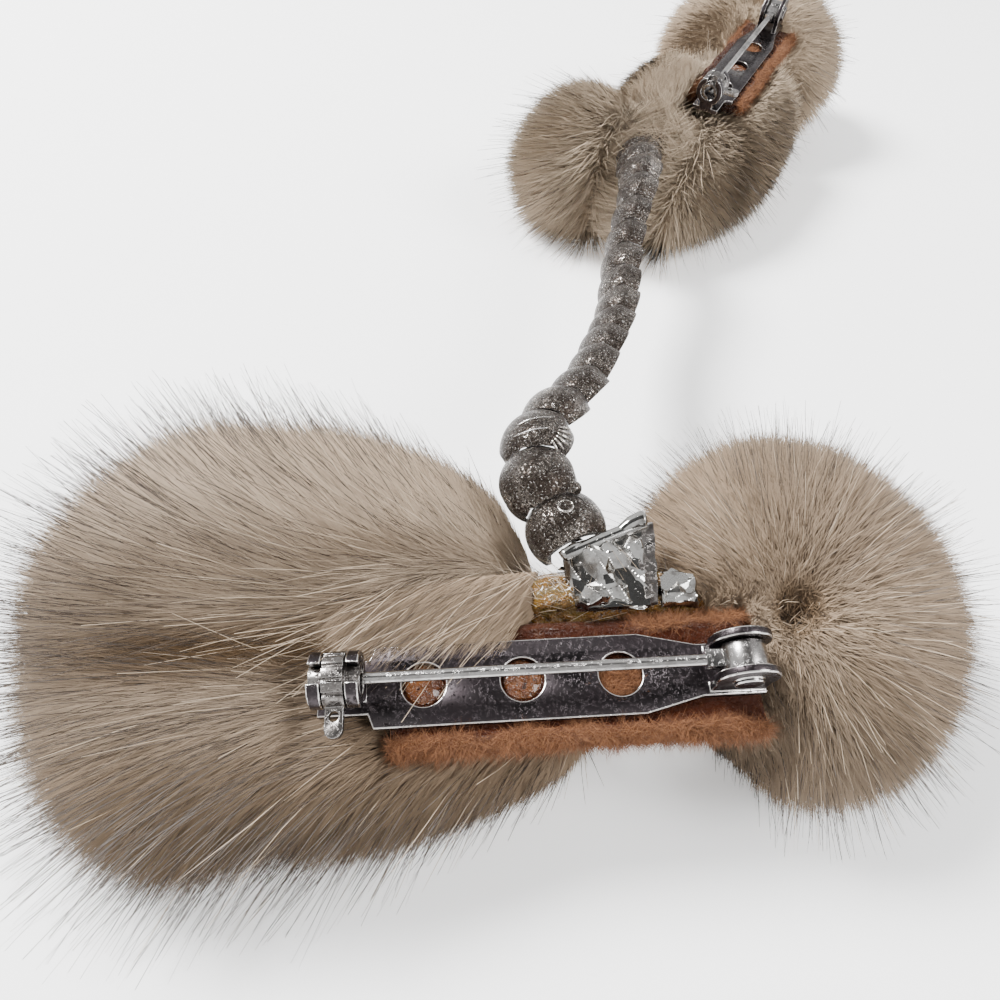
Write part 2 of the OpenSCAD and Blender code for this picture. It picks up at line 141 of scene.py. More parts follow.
# %% Floor and light
def add_lamp(name, place, target, size, watts):
    light = bpy.data.lights.new(name, "AREA")
    light.shape = "DISK"
    light.size = size
    light.energy = watts
    lamp = add_object(name, light)
    lamp.location = place
    lamp.rotation_euler = (Vector(target) - Vector(place)).to_track_quat("-Z", "Y").to_euler()


FLOOR_HALF = 3
CARD_HALF, CARD_NEAR, CARD_FAR, CARD_HEIGHT = 0.24, -0.3, 0.16, 0.6
SUBJECT = (0, -0.03, 0.01)

floor = make_mesh("floor", [
    (-FLOOR_HALF, -FLOOR_HALF, 0), (FLOOR_HALF, -FLOOR_HALF, 0), (FLOOR_HALF, FLOOR_HALF, 0),
    (-FLOOR_HALF, FLOOR_HALF, 0)], [(0, 1, 2, 3)])
floor.data.materials.append(new_material(
    "floor_paper", (0.94, 0.94, 0.94), 0.9, Emission_Color=(1, 1, 1, 1),
    Emission_Strength=0.3)[0])
card = make_mesh("dark_card", [
    (-CARD_HALF, CARD_NEAR, CARD_HEIGHT), (CARD_HALF, CARD_NEAR, CARD_HEIGHT),
    (CARD_HALF, CARD_FAR, CARD_HEIGHT), (-CARD_HALF, CARD_FAR, CARD_HEIGHT)], [(0, 3, 2, 1)])
card.data.materials.append(new_material("card_black", (0.02, 0.02, 0.02), 0.9)[0])

world = bpy.data.worlds.new("studio")
world.use_nodes = True
world.node_tree.nodes["Background"].inputs["Color"].default_value = (1, 1, 1, 1)
world.node_tree.nodes["Background"].inputs["Strength"].default_value = 1.2
bpy.context.scene.world = world
add_lamp("key", (-0.35, 0.15, 0.5), SUBJECT, size=0.25, watts=14)
add_lamp("fill", (0.4, -0.2, 0.4), SUBJECT, size=0.3, watts=4)
print("floor and lights ready")

# %% [markdown]
# Both brooches are the same design. Each is described in its own axes, in millimetres: X runs
# from the catch to the hinge, Y to the chain's side, Z out of the back, and Z = 0 is the felt's
# face. One matrix per brooch puts that description on the table, as the solids have it.

# %% Where the two brooches lie
def seat_matrix(place, yaw, pitch, roll):
    """place is the middle of the felt's face, from the camera's foot. Angles are in degrees."""
    turn = Matrix.Rotation(math.radians(yaw), 4, "Z")
    turn @= Matrix.Rotation(math.radians(-pitch), 4, "Y")
    turn @= Matrix.Rotation(math.radians(roll), 4, "X")
    return Matrix.Scale(MM, 4) @ Matrix.Translation(LAYOUT + Vector(place)) @ turn


SEATS = {
    "near": seat_matrix((3.2, 24.2, 16), 3.4, 0, 11),
    "far": seat_matrix((38.3, 128.9, 19.1), 60, 5, 5),
}
BODY = "guard"
LINKS = range(1, 20)
print("near felt face at", [round(v, 4) for v in SEATS["near"].translation])

# %% [markdown]
# Speckle is shared by the metals, the felt and the glue: dirt, pits and tarnish are all uneven
# patches at two sizes. One node group makes a mask from two noises, so each material only
# chooses the scale and how sharp the edge is.

# %% A shared mask of patches
def group_sockets(group, inputs, outputs):
    for name, kind, value in inputs:
        socket = group.interface.new_socket(name, in_out="INPUT", socket_type=kind)
        socket.default_value = value
    for name, kind in outputs:
        group.interface.new_socket(name, in_out="OUTPUT", socket_type=kind)


def make_patches():
    group = bpy.data.node_groups.new("patches", "ShaderNodeTree")
    group_sockets(group, [
        ("Scale", "NodeSocketFloat", 1000),
        ("Amount", "NodeSocketFloat", 0.5),
        ("Softness", "NodeSocketFloat", 0.1),
    ], [("Mask", "NodeSocketFloat")])
    source = group.nodes.new("NodeGroupInput")
    place = put(group, "ShaderNodeTexCoord").outputs["Object"]
    large = put(group, "ShaderNodeTexNoise", {
        "Vector": place, "Scale": source.outputs["Scale"], "Detail": 4, "Roughness": 0.65,
    }).outputs[0]
    low = put(group, "ShaderNodeMath", {
        0: source.outputs["Amount"], 1: source.outputs["Softness"]}, operation="SUBTRACT")
    high = put(group, "ShaderNodeMath", {
        0: source.outputs["Amount"], 1: source.outputs["Softness"]}, operation="ADD")
    mask = put(group, "ShaderNodeMapRange", {
        "Value": large, "From Min": low, "From Max": high}, interpolation_type="SMOOTHSTEP")
    end = group.nodes.new("NodeGroupOutput")
    group.links.new(mask.outputs[0], end.inputs["Mask"])
    return group


PATCHES = make_patches()


def patches(tree, scale, amount=0.5, softness=0.1):
    """Places the group in a material and gives its mask."""
    node = put(tree, "ShaderNodeGroup", node_tree=PATCHES)
    node.inputs["Scale"].default_value = scale
    node.inputs["Amount"].default_value = amount
    node.inputs["Softness"].default_value = softness
    return node.outputs["Mask"]


def mix_color(tree, mask, a, b):
    node = put(tree, "ShaderNodeMix", {"Factor": mask}, data_type="RGBA")
    for name, value in (("A", a), ("B", b)):
        socket = first(node.inputs, name)
        if isinstance(value, bpy.types.NodeSocket):
            tree.links.new(value, socket)
        else:
            socket.default_value = (*value, 1)
    return first(node.outputs, "Result")


def math_node(tree, operation, a, b=0.5):
    return put(tree, "ShaderNodeMath", {0: a, 1: b}, operation=operation).outputs[0]


def add_bump(tree, shader, height, distance, strength=1):
    bump = put(tree, "ShaderNodeBump", {
        "Height": height, "Distance": distance, "Strength": strength})
    tree.links.new(bump.outputs[0], shader.inputs["Normal"])


print("patches group ready")

# %% [markdown]
# Mink has two kinds of hair. The underfur is short, dense and pale, with brown roots that show
# where the fur parts. The guard hairs are longer, straighter and sparse, dark at the outer edge
# and cream near the pin. Both get their colour from attributes of the strand. Thousands of thin
# spikes would catch the light like bristles, so each strand borrows three quarters of its
# normal from the skin under it, which gives the soft sheen of dense fur.

# %% Fur colours
OWN_NORMAL = 0.25


def attribute(tree, name, output="Fac"):
    return put(tree, "ShaderNodeAttribute", attribute_name=name).outputs[output]


def soft_normal(tree, shader):
    own = put(tree, "ShaderNodeNewGeometry").outputs["Normal"]
    own = put(tree, "ShaderNodeVectorMath", {0: own, "Scale": OWN_NORMAL}, operation="SCALE")
    skin_way = put(tree, "ShaderNodeVectorMath", {
        0: attribute(tree, "skin_normal", "Vector"), "Scale": 1 - OWN_NORMAL}, operation="SCALE")
    both = put(tree, "ShaderNodeVectorMath", {0: own, 1: skin_way}, operation="ADD")
    both = put(tree, "ShaderNodeVectorMath", {0: both}, operation="NORMALIZE")
    tree.links.new(both.outputs[0], shader.inputs["Normal"])


def ranged(tree, value, low, high, from_low=0.0, from_high=1.0):
    return put(tree, "ShaderNodeMapRange", {
        "Value": value, "From Min": from_low, "From Max": from_high,
        "To Min": low, "To Max": high}).outputs[0]


ROOT_BROWN_AND_SHADE = (0.13, 0.076, 0.034)
DARK_HAIR, CREAM_HAIR = (0.05, 0.038, 0.03), (0.42, 0.33, 0.24)
FUR_TIP = {"near": (0.42, 0.322, 0.232), "far": (0.6, 0.468, 0.335)}


def make_underfur(side):
    material, tree, shader = new_material(
        f"{side}_underfur", FUR_TIP[side], 0.7, Specular_IOR_Level=0.2)
    # Brown roots show where the fur parts. The same value also lays painted shade, which browns
    # the hair the same way.
    tip_shows = math_node(tree, "SUBTRACT", 1, attribute(tree, "brown_and_shade"))
    tip = ranged(tree, attribute(tree, "along"), 0.8, 1)
    tip = math_node(tree, "MULTIPLY", tip, tip_shows)
    color = mix_color(tree, tip, ROOT_BROWN_AND_SHADE, FUR_TIP[side])
    shade = ranged(tree, attribute(tree, "tint"), 0.86, 1.14)
    broad = ranged(tree, patches(tree, 160, 0.5, 0.25), 0.93, 1.07)
    value = math_node(tree, "MULTIPLY", shade, broad)
    color = put(tree, "ShaderNodeHueSaturation", {"Color": color, "Value": value}).outputs[0]
    tree.links.new(color, shader.inputs["Base Color"])
    soft_normal(tree, shader)
    return material


def make_guard_hair():
    material, tree, shader = new_material("guard_hair", ROOT_BROWN_AND_SHADE, 0.5, Specular_IOR_Level=0.3)
    share = ranged(tree, attribute(tree, "pale"), 0.03, 0.5)
    is_pale = math_node(tree, "LESS_THAN", attribute(tree, "tint"), share)
    color = mix_color(tree, is_pale, DARK_HAIR, CREAM_HAIR)
    tree.links.new(color, shader.inputs["Base Color"])
    return material


def make_fur_skin(side):
    """Between the strands the skin itself is streaked along the grain of the fur."""
    tip = FUR_TIP[side]
    material, tree, shader = new_material(f"{side}_fur_skin", tip, 0.8, Specular_IOR_Level=0.15)
    grain = put(tree, "ShaderNodeMapping", {
        "Vector": attribute(tree, "grain", "Vector"), "Scale": (0.35, 5, 5)})
    streaks = put(tree, "ShaderNodeTexNoise", {
        "Vector": grain, "Scale": 1.0, "Detail": 3, "Roughness": 0.6}).outputs[0]
    color = mix_color(tree, ranged(tree, streaks, 0, 1, 0.35, 0.65),
                      tuple(0.85 * v for v in tip), tip)
    # The skin is browned where roots show at partings and where painted shade is laid.
    color = mix_color(tree, attribute(tree, "brown_and_shade"), color, ROOT_BROWN_AND_SHADE)
    tree.links.new(color, shader.inputs["Base Color"])
    add_bump(tree, shader, streaks, 0.0004)
    return material


UNDERFUR = {side: make_underfur(side) for side in SEATS}
SKIN = {side: make_fur_skin(side) for side in SEATS}
GUARD_HAIR = make_guard_hair()
print("fur materials ready")

# %% [markdown]
# A strand is a thin three-sided spike. The tree scatters spikes over a skin, tips each one from
# the surface's normal towards the nap, stretches it to its own length, and then bends it: each
# strand leans to the middle of its clump, sags a little and wavers. Roots and lengths follow
# attributes of the skin, so fur is thin where the real one is glued or worn.

# %% Inputs of a strand, and helpers for its tree
STRAND_INPUTS = [
    ("Density", "NodeSocketFloat", 1e6),
    ("Length", "NodeSocketFloat", 0.005),
    ("Spread", "NodeSocketFloat", 0.25),
    ("Thickness", "NodeSocketFloat", 0.00005),
    ("Tip", "NodeSocketFloat", 0.0),
    ("Lift", "NodeSocketFloat", 0.5),
    ("Scatter", "NodeSocketFloat", 0.2),
    ("Clump Size", "NodeSocketFloat", 0.002),
    ("Clump Pull", "NodeSocketFloat", 0.3),
    ("Droop", "NodeSocketFloat", 0.1),
    ("Frizz", "NodeSocketFloat", 0.0003),
    ("Segments", "NodeSocketInt", 1),
    ("Seed", "NodeSocketInt", 1),
    ("Material", "NodeSocketMaterial", None),
]


def named(tree, name, kind="FLOAT"):
    return put(tree, "GeometryNodeInputNamedAttribute", {"Name": name}, data_type=kind)


def vector_math(tree, operation, a, b=None, scale=None):
    inputs = {0: a}
    if b is not None:
        inputs[1] = b
    if scale is not None:
        inputs["Scale"] = scale
    return first(put(tree, "ShaderNodeVectorMath", inputs, operation=operation).outputs)


def random_value(tree, kind, low, high, seed):
    return put(tree, "FunctionNodeRandomValue",
               {"Min": low, "Max": high, "Seed": seed}, data_type=kind)


def store(tree, geometry, name, value, domain, kind="FLOAT"):
    return put(tree, "GeometryNodeStoreNamedAttribute",
               {"Geometry": geometry, "Name": name, "Value": value},
               domain=domain, data_type=kind)


print("inputs of a strand:", len(STRAND_INPUTS))

# %% The strand tree
def make_strand_tree():
    tree = bpy.data.node_groups.new("strands", "GeometryNodeTree")
    tree.interface.new_socket("Geometry", in_out="INPUT", socket_type="NodeSocketGeometry")
    for name, kind, value in STRAND_INPUTS:
        socket = tree.interface.new_socket(name, in_out="INPUT", socket_type=kind)
        if value is not None:
            socket.default_value = value
    tree.interface.new_socket("Geometry", in_out="OUTPUT", socket_type="NodeSocketGeometry")
    given = tree.nodes.new("NodeGroupInput").outputs
    position = put(tree, "GeometryNodeInputPosition")

    # One spike, with its height kept as "along"
    spike = put(tree, "GeometryNodeMeshCone", {
        "Vertices": 3, "Side Segments": given["Segments"], "Radius Top": given["Tip"],
        "Radius Bottom": 1, "Depth": 1}, fill_type="NGON")
    height = put(tree, "ShaderNodeSeparateXYZ", {0: position}).outputs["Z"]
    spike = store(tree, spike.outputs["Mesh"], "along", height, "POINT")

    # Roots on the skin
    dense = math_node(tree, "MULTIPLY", given["Density"], first(named(tree, "dense").outputs))
    roots = put(tree, "GeometryNodeDistributePointsOnFaces", {
        "Mesh": given["Geometry"], "Density": dense, "Seed": given["Seed"]})
    lifted = vector_math(tree, "SCALE", roots.outputs["Normal"], scale=given["Lift"])
    stray = random_value(tree, "FLOAT_VECTOR", (-1, -1, -1), (1, 1, 1), given["Seed"])
    stray = vector_math(tree, "SCALE", stray, scale=given["Scatter"])
    leaning = vector_math(tree, "ADD", lifted, named(tree, "nap", "FLOAT_VECTOR"))
    leaning = vector_math(tree, "ADD", leaning, stray)
    aim = put(tree, "FunctionNodeAlignRotationToVector", {"Vector": leaning}, axis="Z")
    least = math_node(tree, "SUBTRACT", 1, given["Spread"])
    most = math_node(tree, "ADD", 1, given["Spread"])
    length = random_value(tree, "FLOAT", least, most, given["Seed"])
    length = math_node(tree, "MULTIPLY", length, given["Length"])
    length = math_node(tree, "MULTIPLY", length, first(named(tree, "long").outputs))
    size = put(tree, "ShaderNodeCombineXYZ", {
        "X": given["Thickness"], "Y": given["Thickness"], "Z": length})
    spikes = put(tree, "GeometryNodeInstanceOnPoints", {
        "Points": roots.outputs["Points"], "Instance": spike, "Rotation": aim, "Scale": size})

    # What each spike remembers once it is part of the mesh
    cells = math_node(tree, "DIVIDE", 1, given["Clump Size"])
    clump = put(tree, "ShaderNodeTexVoronoi", {"Vector": position, "Scale": cells})
    to_clump = vector_math(tree, "SUBTRACT", clump.outputs["Position"], position)
    tint = random_value(tree, "FLOAT", 0.0, 1.0, 7)
    kept = store(tree, spikes, "tint", tint, "INSTANCE")
    kept = store(tree, kept, "to_clump", to_clump, "INSTANCE", "FLOAT_VECTOR")
    kept = store(tree, kept, "hair_length", length, "INSTANCE")
    kept = store(tree, kept, "skin_normal", roots.outputs["Normal"], "INSTANCE",
                 "FLOAT_VECTOR")
    mesh = put(tree, "GeometryNodeRealizeInstances", {"Geometry": kept})

    # Bending
    along = first(named(tree, "along").outputs)
    curve = math_node(tree, "POWER", along, 1.6)
    pull = math_node(tree, "MULTIPLY", curve, given["Clump Pull"])
    shift = vector_math(tree, "SCALE", named(tree, "to_clump", "FLOAT_VECTOR"), scale=pull)
    sag = math_node(tree, "MULTIPLY", first(named(tree, "hair_length").outputs), given["Droop"])
    sag = math_node(tree, "MULTIPLY", sag, curve)
    shift = vector_math(tree, "ADD", shift, vector_math(tree, "SCALE", (0, 0, -1), scale=sag))
    wave = put(tree, "ShaderNodeTexNoise", {"Vector": position, "Scale": 1300.0})
    wave = vector_math(tree, "SUBTRACT", wave.outputs["Color"], (0.5, 0.5, 0.5))
    waver = math_node(tree, "MULTIPLY", curve, given["Frizz"])
    shift = vector_math(tree, "ADD", shift, vector_math(tree, "SCALE", wave, scale=waver))
    mesh = put(tree, "GeometryNodeSetPosition", {"Geometry": mesh, "Offset": shift})

    # Nothing goes through the table
    parts = put(tree, "ShaderNodeSeparateXYZ", {0: position})
    above = math_node(tree, "MAXIMUM", parts.outputs["Z"], 0.0003)
    place = put(tree, "ShaderNodeCombineXYZ", {
        "X": parts.outputs["X"], "Y": parts.outputs["Y"], "Z": above})
    mesh = put(tree, "GeometryNodeSetPosition", {"Geometry": mesh, "Position": place})
    mesh = put(tree, "GeometryNodeSetMaterial", {
        "Geometry": mesh, "Material": given["Material"]})
    end = tree.nodes.new("NodeGroupOutput")
    tree.links.new(mesh.outputs[0], end.inputs[0])
    return tree


STRANDS = make_strand_tree()
print("nodes in the strand tree:", len(STRANDS.nodes))

# %% Growing a piece
def set_input(modifier, name, value):
    """A modifier's input is set by the identifier of its socket."""
    for item in modifier.node_group.interface.items_tree:
        if item.in_out == "INPUT" and item.name == name:
            modifier[item.identifier] = value
            return
    raise KeyError(name)


def triangles(mesh):
    return sum(len(p.vertices) - 2 for p in mesh.polygons)


def grow(base, name, settings):
    """Runs the strand tree on a base mesh and returns the result as a plain piece."""
    modifier = base.modifiers.new("strands", "NODES")
    modifier.node_group = STRANDS
    for key, value in settings.items():
        set_input(modifier, key, value)
    graph = bpy.context.evaluated_depsgraph_get()
    made = bpy.data.meshes.new_from_object(
        base.evaluated_get(graph), preserve_all_data_layers=True, depsgraph=graph)
    base.modifiers.remove(modifier)
    for attribute in ("to_clump", "hair_length"):
        if attribute in made.attributes:
            made.attributes.remove(made.attributes[attribute])
    made.name = name
    print(f"{name}: {triangles(made)} triangles")
    return add_object(name, made)


# %% [markdown]
# The fur's skins are the swollen bodies under the hair. Each ornament has one long piece at the
# catch, where two lobes lie side by side and join in a blunt outer end, and a ball at the hinge
# with a small hole at its top. The lobes could be separate balls of fur, but their inner halves
# would be buried and wasted. Instead one skin is worked out as rays from a point inside: along
# each ray it lies where the ray leaves the last of three ellipsoids, blended a little so that
# the parting between the lobes is soft. It is pressed flat on the table and kept clear of the
# felt, the tab and the chain.

# %% Forms under the fur
# All sizes here are in millimetres in the brooch's axes
FELT_X = (-11.2, 15.6)
FELT_HALF = 4.55
POLE = Vector((19.4, 4, 0.4))       # the hole in the ball
SEAM_Y = 4.2                        # where the two lobes part
LOBES_END, BALL_START = 4.4, 7.4    # the inner walls, with the tab between them

# Columns: centre, radii
LOBES = {
    "near": [((-19.7, 11.0, -8.2), (20.4, 12.9, 8.9)), ((-15.0, -0.8, -8.5), (20.2, 6.7, 8.0)),
             ((-26.9, 8.2, -8.6), (12.0, 16.9, 8.5))],
    "far": [((-8.0, 8.2, -8.2), (12.7, 7.1, 8.9)), ((0.3, 0.0, -8.5), (31.0, 11.0, 8.0)),
            ((-22.9, 14.8, -8.4), (11.0, 9.1, 8.9))],
}
BALLS = {
    "near": [((22.0, 7.0, -7.2), (11.7, 13.9, 9.5))],
    "far": [((20.8, 3.4, -7.2), (14.7, 14.3, 9.5))],
}
MIDDLES = {
    ("near", "lobes"): (-20, 5, -8.3), ("far", "lobes"): (-16, 8.5, -8.3),
    ("near", "ball"): (22, 7, -7.2), ("far", "ball"): (20.8, 3.4, -7.2),
}
DEPTH = {"near": 0.6, "far": 4.0}
STRETCH = {"lobes": (24, 14, 9), "ball": (12, 14, 10)}
print("fur forms: 2 long pieces and 2 balls")

# %% Rays that leave an ellipsoid
def smooth(low, high, value):
    t = min(1, max(0, (value - low) / (high - low)))
    return t * t * (3 - 2 * t)


def deeper(form, depth):
    """The far fur is deeper, because its brooch lies higher."""
    centre, radii = form
    return (Vector((centre[0], centre[1], centre[2] - depth / 2)),
            Vector((radii[0], radii[1], radii[2] + depth / 2)))


def leaves_at(start, way, centre, radii):
    """How far along the ray it leaves an ellipsoid, or nearly 0 where it misses it."""
    s = Vector((a - c) / r for a, c, r in zip(start, centre, radii))
    w = Vector(a / r for a, r in zip(way, radii))
    half, whole, rest = s.dot(w), w.dot(w), s.dot(s) - 1
    root = half * half - whole * rest
    return (math.sqrt(root) - half) / whole if root > 0 else 0.01


def blended(values, softness=0.7):
    """The largest value, rounded off where two are close."""
    most = max(values)
    return most + softness * math.log(sum(math.exp((v - most) / softness) for v in values))


core_top = leaves_at(Vector(MIDDLES["near", "ball"]), Vector((0, 0, 1)), *BALLS["near"][0])
print("near ball's core, deep:", round(2 * core_top, 1), "mm")

# %% Room for felt, catch, tab and chain
def chain_line(side):
    """The links' middles in a brooch's axes."""
    back = SEATS[side].inverted()
    line = []
    for number in LINKS:
        points = [v.co for v in frame["nodes"][f"link_{number:02d}"].data.vertices]
        line.append(back @ (sum(points, Vector()) / len(points)))
    return line


def beside_chain(p, line):
    """Level distance from the chain's line, the nearest place on it, and its link."""
    best = (99.0, line[0], 0)
    for number, (a, b) in enumerate(zip(line, line[1:])):
        step = b - a
        t = ((p.x - a.x) * step.x + (p.y - a.y) * step.y) / (step.x ** 2 + step.y ** 2)
        q = a + step * min(1, max(0, t))
        away = math.hypot(p.x - q.x, p.y - q.y)
        if away < best[0]:
            best = (away, q, number + 1)
    return best


# Columns: x from, x to, y from, y to, highest z of the skin there. The rows are the felt, the
# catch, and the glue and tab.
FELT_ROOM = (FELT_X[0] - 0.3, FELT_X[1] + 0.3, -FELT_HALF - 0.3, FELT_HALF + 0.3, -2.5)
CATCH_ROOM = (-17.4, FELT_X[0], -4.3, 4.3, -1.9)
ROOM = {
    "near": [FELT_ROOM, CATCH_ROOM, (-3, 13.2, 4, 8.6, -2.4), (1.4, 10, 4, 13, -2.4)],
    "far": [FELT_ROOM, CATCH_ROOM, (-19, -3, 2.6, 9.5, -3.8)],
}
CHAIN_ROOM = 3.3


def kept_clear(p, side, line):
    """Pushes a point down under the felt, the catch, the tab, the glue and the chain."""
    z = p.z
    for x_from, x_to, y_from, y_to, top in ROOM[side]:
        if x_from < p.x < x_to and y_from < p.y < y_to:
            z = min(z, top)
    away, middle, _ = beside_chain(p, line)
    if away < CHAIN_ROOM:
        z = min(z, middle.z - math.sqrt(CHAIN_ROOM ** 2 - away ** 2))
    return Vector((p.x, p.y, z))


print("places kept clear:", {side: len(rows) + 1 for side, rows in ROOM.items()})

# %% [markdown]
# The nap is worked out for every point of a skin: outwards from the pin on the lobes, away from
# the hole on the ball. Where the lobes meet the felt, the hair falls back over the felt's edge.
# Six more values say how dense and how long the hair is, how much of its brown root shows or how
# much painted shade browns it, how pale the guard hairs are, where the grain of the fur runs, and
# where it closes over the chain.

# %% Nap of the fur
def lobe_nap(p):
    side = (p.y - SEAM_Y) / 13
    out = Vector((-1, 0.75 * side, 0.1 * (p.z + 8) / 8))
    over_felt = smooth(-17, -9, p.x) * (1 - smooth(8, 13, p.y)) * smooth(2, 5, p.y)
    out = out.lerp(Vector((-0.8, -0.55, 0.3)), over_felt)
    to_ball = Vector((0.4, math.copysign(0.5, p.y - SEAM_Y), 0.6))
    return out.lerp(to_ball, smooth(LOBES_END - 1.6, LOBES_END - 0.2, p.x)).normalized()


def by_felt(p):
    """1 where the ball meets the felt's end, 0 a few millimetres away."""
    beyond = 1 - smooth(FELT_X[1] + 0.3, FELT_X[1] + 4, p.x)
    return beyond * (1 - smooth(FELT_HALF + 0.5, FELT_HALF + 3.5, abs(p.y)))


def ball_nap(p):
    """Away from the hole, but combed aside where it would lie over the felt."""
    away = (p - POLE).normalized()
    return away.lerp(Vector((0.4, away.y, 0.6)), 0.9 * by_felt(p)).normalized()


print("nap at the outer end:", [round(v, 2) for v in lobe_nap(Vector((-40, SEAM_Y, -8)))])

# %% Density and length of the fur
def lobe_dense(p):
    hidden = FELT_X[0] < p.x and abs(p.y) < FELT_HALF and p.z > -4
    return 0 if hidden else 0.35 + 0.65 * smooth(-15, -8, p.z)


def ball_dense(p):
    hidden = p.x < FELT_X[1] + 0.3 and abs(p.y) < FELT_HALF + 0.2 and p.z > -4
    bald = (p - POLE).length < 1.3
    return 0 if hidden or bald else 0.35 + 0.65 * smooth(-15, -8, p.z)


def lobe_long(p):
    """Hair is short at the tab and longest from about the catch to the outer end."""
    return 0.5 + 0.5 * smooth(2, -16, p.x)


def ball_long(p):
    """Hair is short round the hole and where it meets the felt's end."""
    return (0.45 + 0.55 * smooth(1, 8, (p - POLE).length)) * (1 - 0.6 * by_felt(p))


print("length beside the hole:", round(ball_long(POLE), 2))

# %% Partings, painted shade, pale hairs and grain
def near_brown_and_shade(p):
    seam = (1 - smooth(0.3, 3.6, abs(p.y - SEAM_Y + 0.5))) * smooth(-38, -24, p.x)
    felt_edge = smooth(-19, -12, p.x) * (1 - smooth(0.5, 5, abs(p.y) - FELT_HALF))
    # front is painted shade: the front of the near lobes is browned as if it lay in shade. back
    # makes them a little browner towards the chain's side.
    front, back = smooth(3, -6, p.y), smooth(8, 18, p.y)
    return max(0.95 * seam, 0.6 * felt_edge, 0.55 * front, 0.2 * back) * smooth(-16, -8, p.z)


def far_parting(p):
    line = (p.x + 26) * 0.42 - 11.5
    crease = (1 - smooth(0.3, 2.2, abs(p.y - line))) * smooth(-30, -24, p.x)
    crease *= 1 - smooth(-14, -8, p.x)
    return 0.45 * crease * smooth(-15, -6, p.z)


def ball_brown_and_shade(p):
    """Brown round the hole. The rest of the ball is browned as painted shade, more towards the
    tab.
    """
    hole = 0.85 * (1 - smooth(0.8, 4, (p - POLE).length))
    return max(hole, 0.36 + 0.26 * smooth(24, 12, p.x) * smooth(2, 9, p.y))


def lobe_pale(p):
    """Cream hairs stand near the pin, on the chain's side."""
    return smooth(-26, -10, p.x) * (1 - smooth(10, 18, p.y)) * smooth(-5, 2, p.y)


def ball_pale(p):
    return 0.8 * (1 - smooth(4, 13, (p - POLE).length))


LAST_OPEN_LINK = 15


def closing(p, side, line):
    """How far the fur closes over the chain here, and the way over it. Only the far brooch's
    fur hides the chain's end."""
    away, middle, number = beside_chain(p, line)
    hides = side == "far" and number > LAST_OPEN_LINK
    share = (1 - smooth(3, 7, away)) * (1 if hides else 0)
    over = Vector((middle.x - p.x, middle.y - p.y, 0)).normalized() + Vector((0, 0, 0.8))
    return share, over


def ball_grain(p):
    """Distance from the hole, then two values that only change round it."""
    flat = Vector((p.x - POLE.x, p.y - POLE.y, 0)).normalized() * 10
    return Vector(((p - POLE).length, flat.x, flat.y))


RULES = {
    ("near", "lobes"): (lobe_nap, lobe_dense, lobe_long, near_brown_and_shade, lobe_pale, Vector),
    ("far", "lobes"): (lobe_nap, lobe_dense, lobe_long, far_parting, lobe_pale, Vector),
    ("near", "ball"): (ball_nap, ball_dense, ball_long, ball_brown_and_shade, ball_pale, ball_grain),
    ("far", "ball"): (ball_nap, ball_dense, ball_long, ball_brown_and_shade, ball_pale, ball_grain),
}
print("nap rules for", len(RULES), "skins")


# %% Skins of the fur
def fur_point(unit, side, key, line):
    """Where the skin lies in the direction of a point of the unit sphere."""
    way = Vector(a * b for a, b in zip(unit, STRETCH[key])).normalized()
    cores = LOBES[side] if key == "lobes" else BALLS[side]
    start = Vector(MIDDLES[side, key]) - Vector((0, 0, DEPTH[side] / 2))
    swell = 1 + 0.03 * noise.noise(unit * 2.3 + Vector((len(key), 0, 0)))
    p = start + way * swell * blended([
        leaves_at(start, way, *deeper(core, DEPTH[side])) for core in cores])
    if key == "lobes":
        p.x = -blended((-p.x, -LOBES_END), 1.3)
        dip = math.exp(-((p.y - SEAM_Y) / 1.5) ** 2) * smooth(-38, -26, p.x) * smooth(-5, -1, p.z)
        p.z -= (1.0 if side == "near" else 0.2) * dip
    else:
        p.x = blended((p.x, BALL_START), 1.0)
        away = math.hypot(p.x - POLE.x, p.y - POLE.y)
        if p.z > -5:
            p.z -= 3.0 * (1 - smooth(0.5, 1.9, away)) + 0.7 * (1 - smooth(1.5, 5, away))
    return kept_clear(p, side, line)


def add_values(mesh, name, kind, values):
    layer = mesh.attributes.new(name, kind, "POINT")
    if kind == "FLOAT_VECTOR":
        layer.data.foreach_set("vector", np.array(values, float).ravel())
    else:
        layer.data.foreach_set("value", [float(v) for v in values])


SKIN_FLOOR = 0.0008
CHAIN_GROOVE = 2.4


def skin(side, key, level):
    """level says how often the sphere that the skin is worked out on is divided."""
    bm = bmesh.new()
    bmesh.ops.create_icosphere(bm, subdivisions=level, radius=1)
    line = chain_line(side)
    local = [fur_point(v.co.normalized(), side, key, line) for v in bm.verts]
    for vertex, p in zip(bm.verts, local):
        vertex.co = SEATS[side] @ p
        vertex.co.z = max(vertex.co.z, SKIN_FLOOR)
    mesh = mesh_from(bm, f"{side}_{key}_skin")
    mesh.shade_smooth()
    nap, dense, long, brown_and_shade, pale, grain = RULES[side, key]
    turn = SEATS[side].to_3x3().normalized()
    over_chain = [closing(p, side, line) for p in local]
    add_values(mesh, "nap", "FLOAT_VECTOR", [
        turn @ nap(p).lerp(way, close).normalized() for p, (close, way) in zip(local, over_chain)])
    add_values(mesh, "closing", "FLOAT", [close for close, way in over_chain])
    add_values(mesh, "grain", "FLOAT_VECTOR", [grain(p) for p in local])
    groove = [1 if beside_chain(p, line)[0] > CHAIN_GROOVE else 0 for p in local]
    add_values(mesh, "dense", "FLOAT", [dense(p) * g for p, g in zip(local, groove)])
    for name, rule in (("long", long), ("brown_and_shade", brown_and_shade), ("pale", pale)):
        add_values(mesh, name, "FLOAT", [rule(p) for p in local])
    mesh.materials.append(SKIN[side])
    return add_object(mesh.name, mesh)


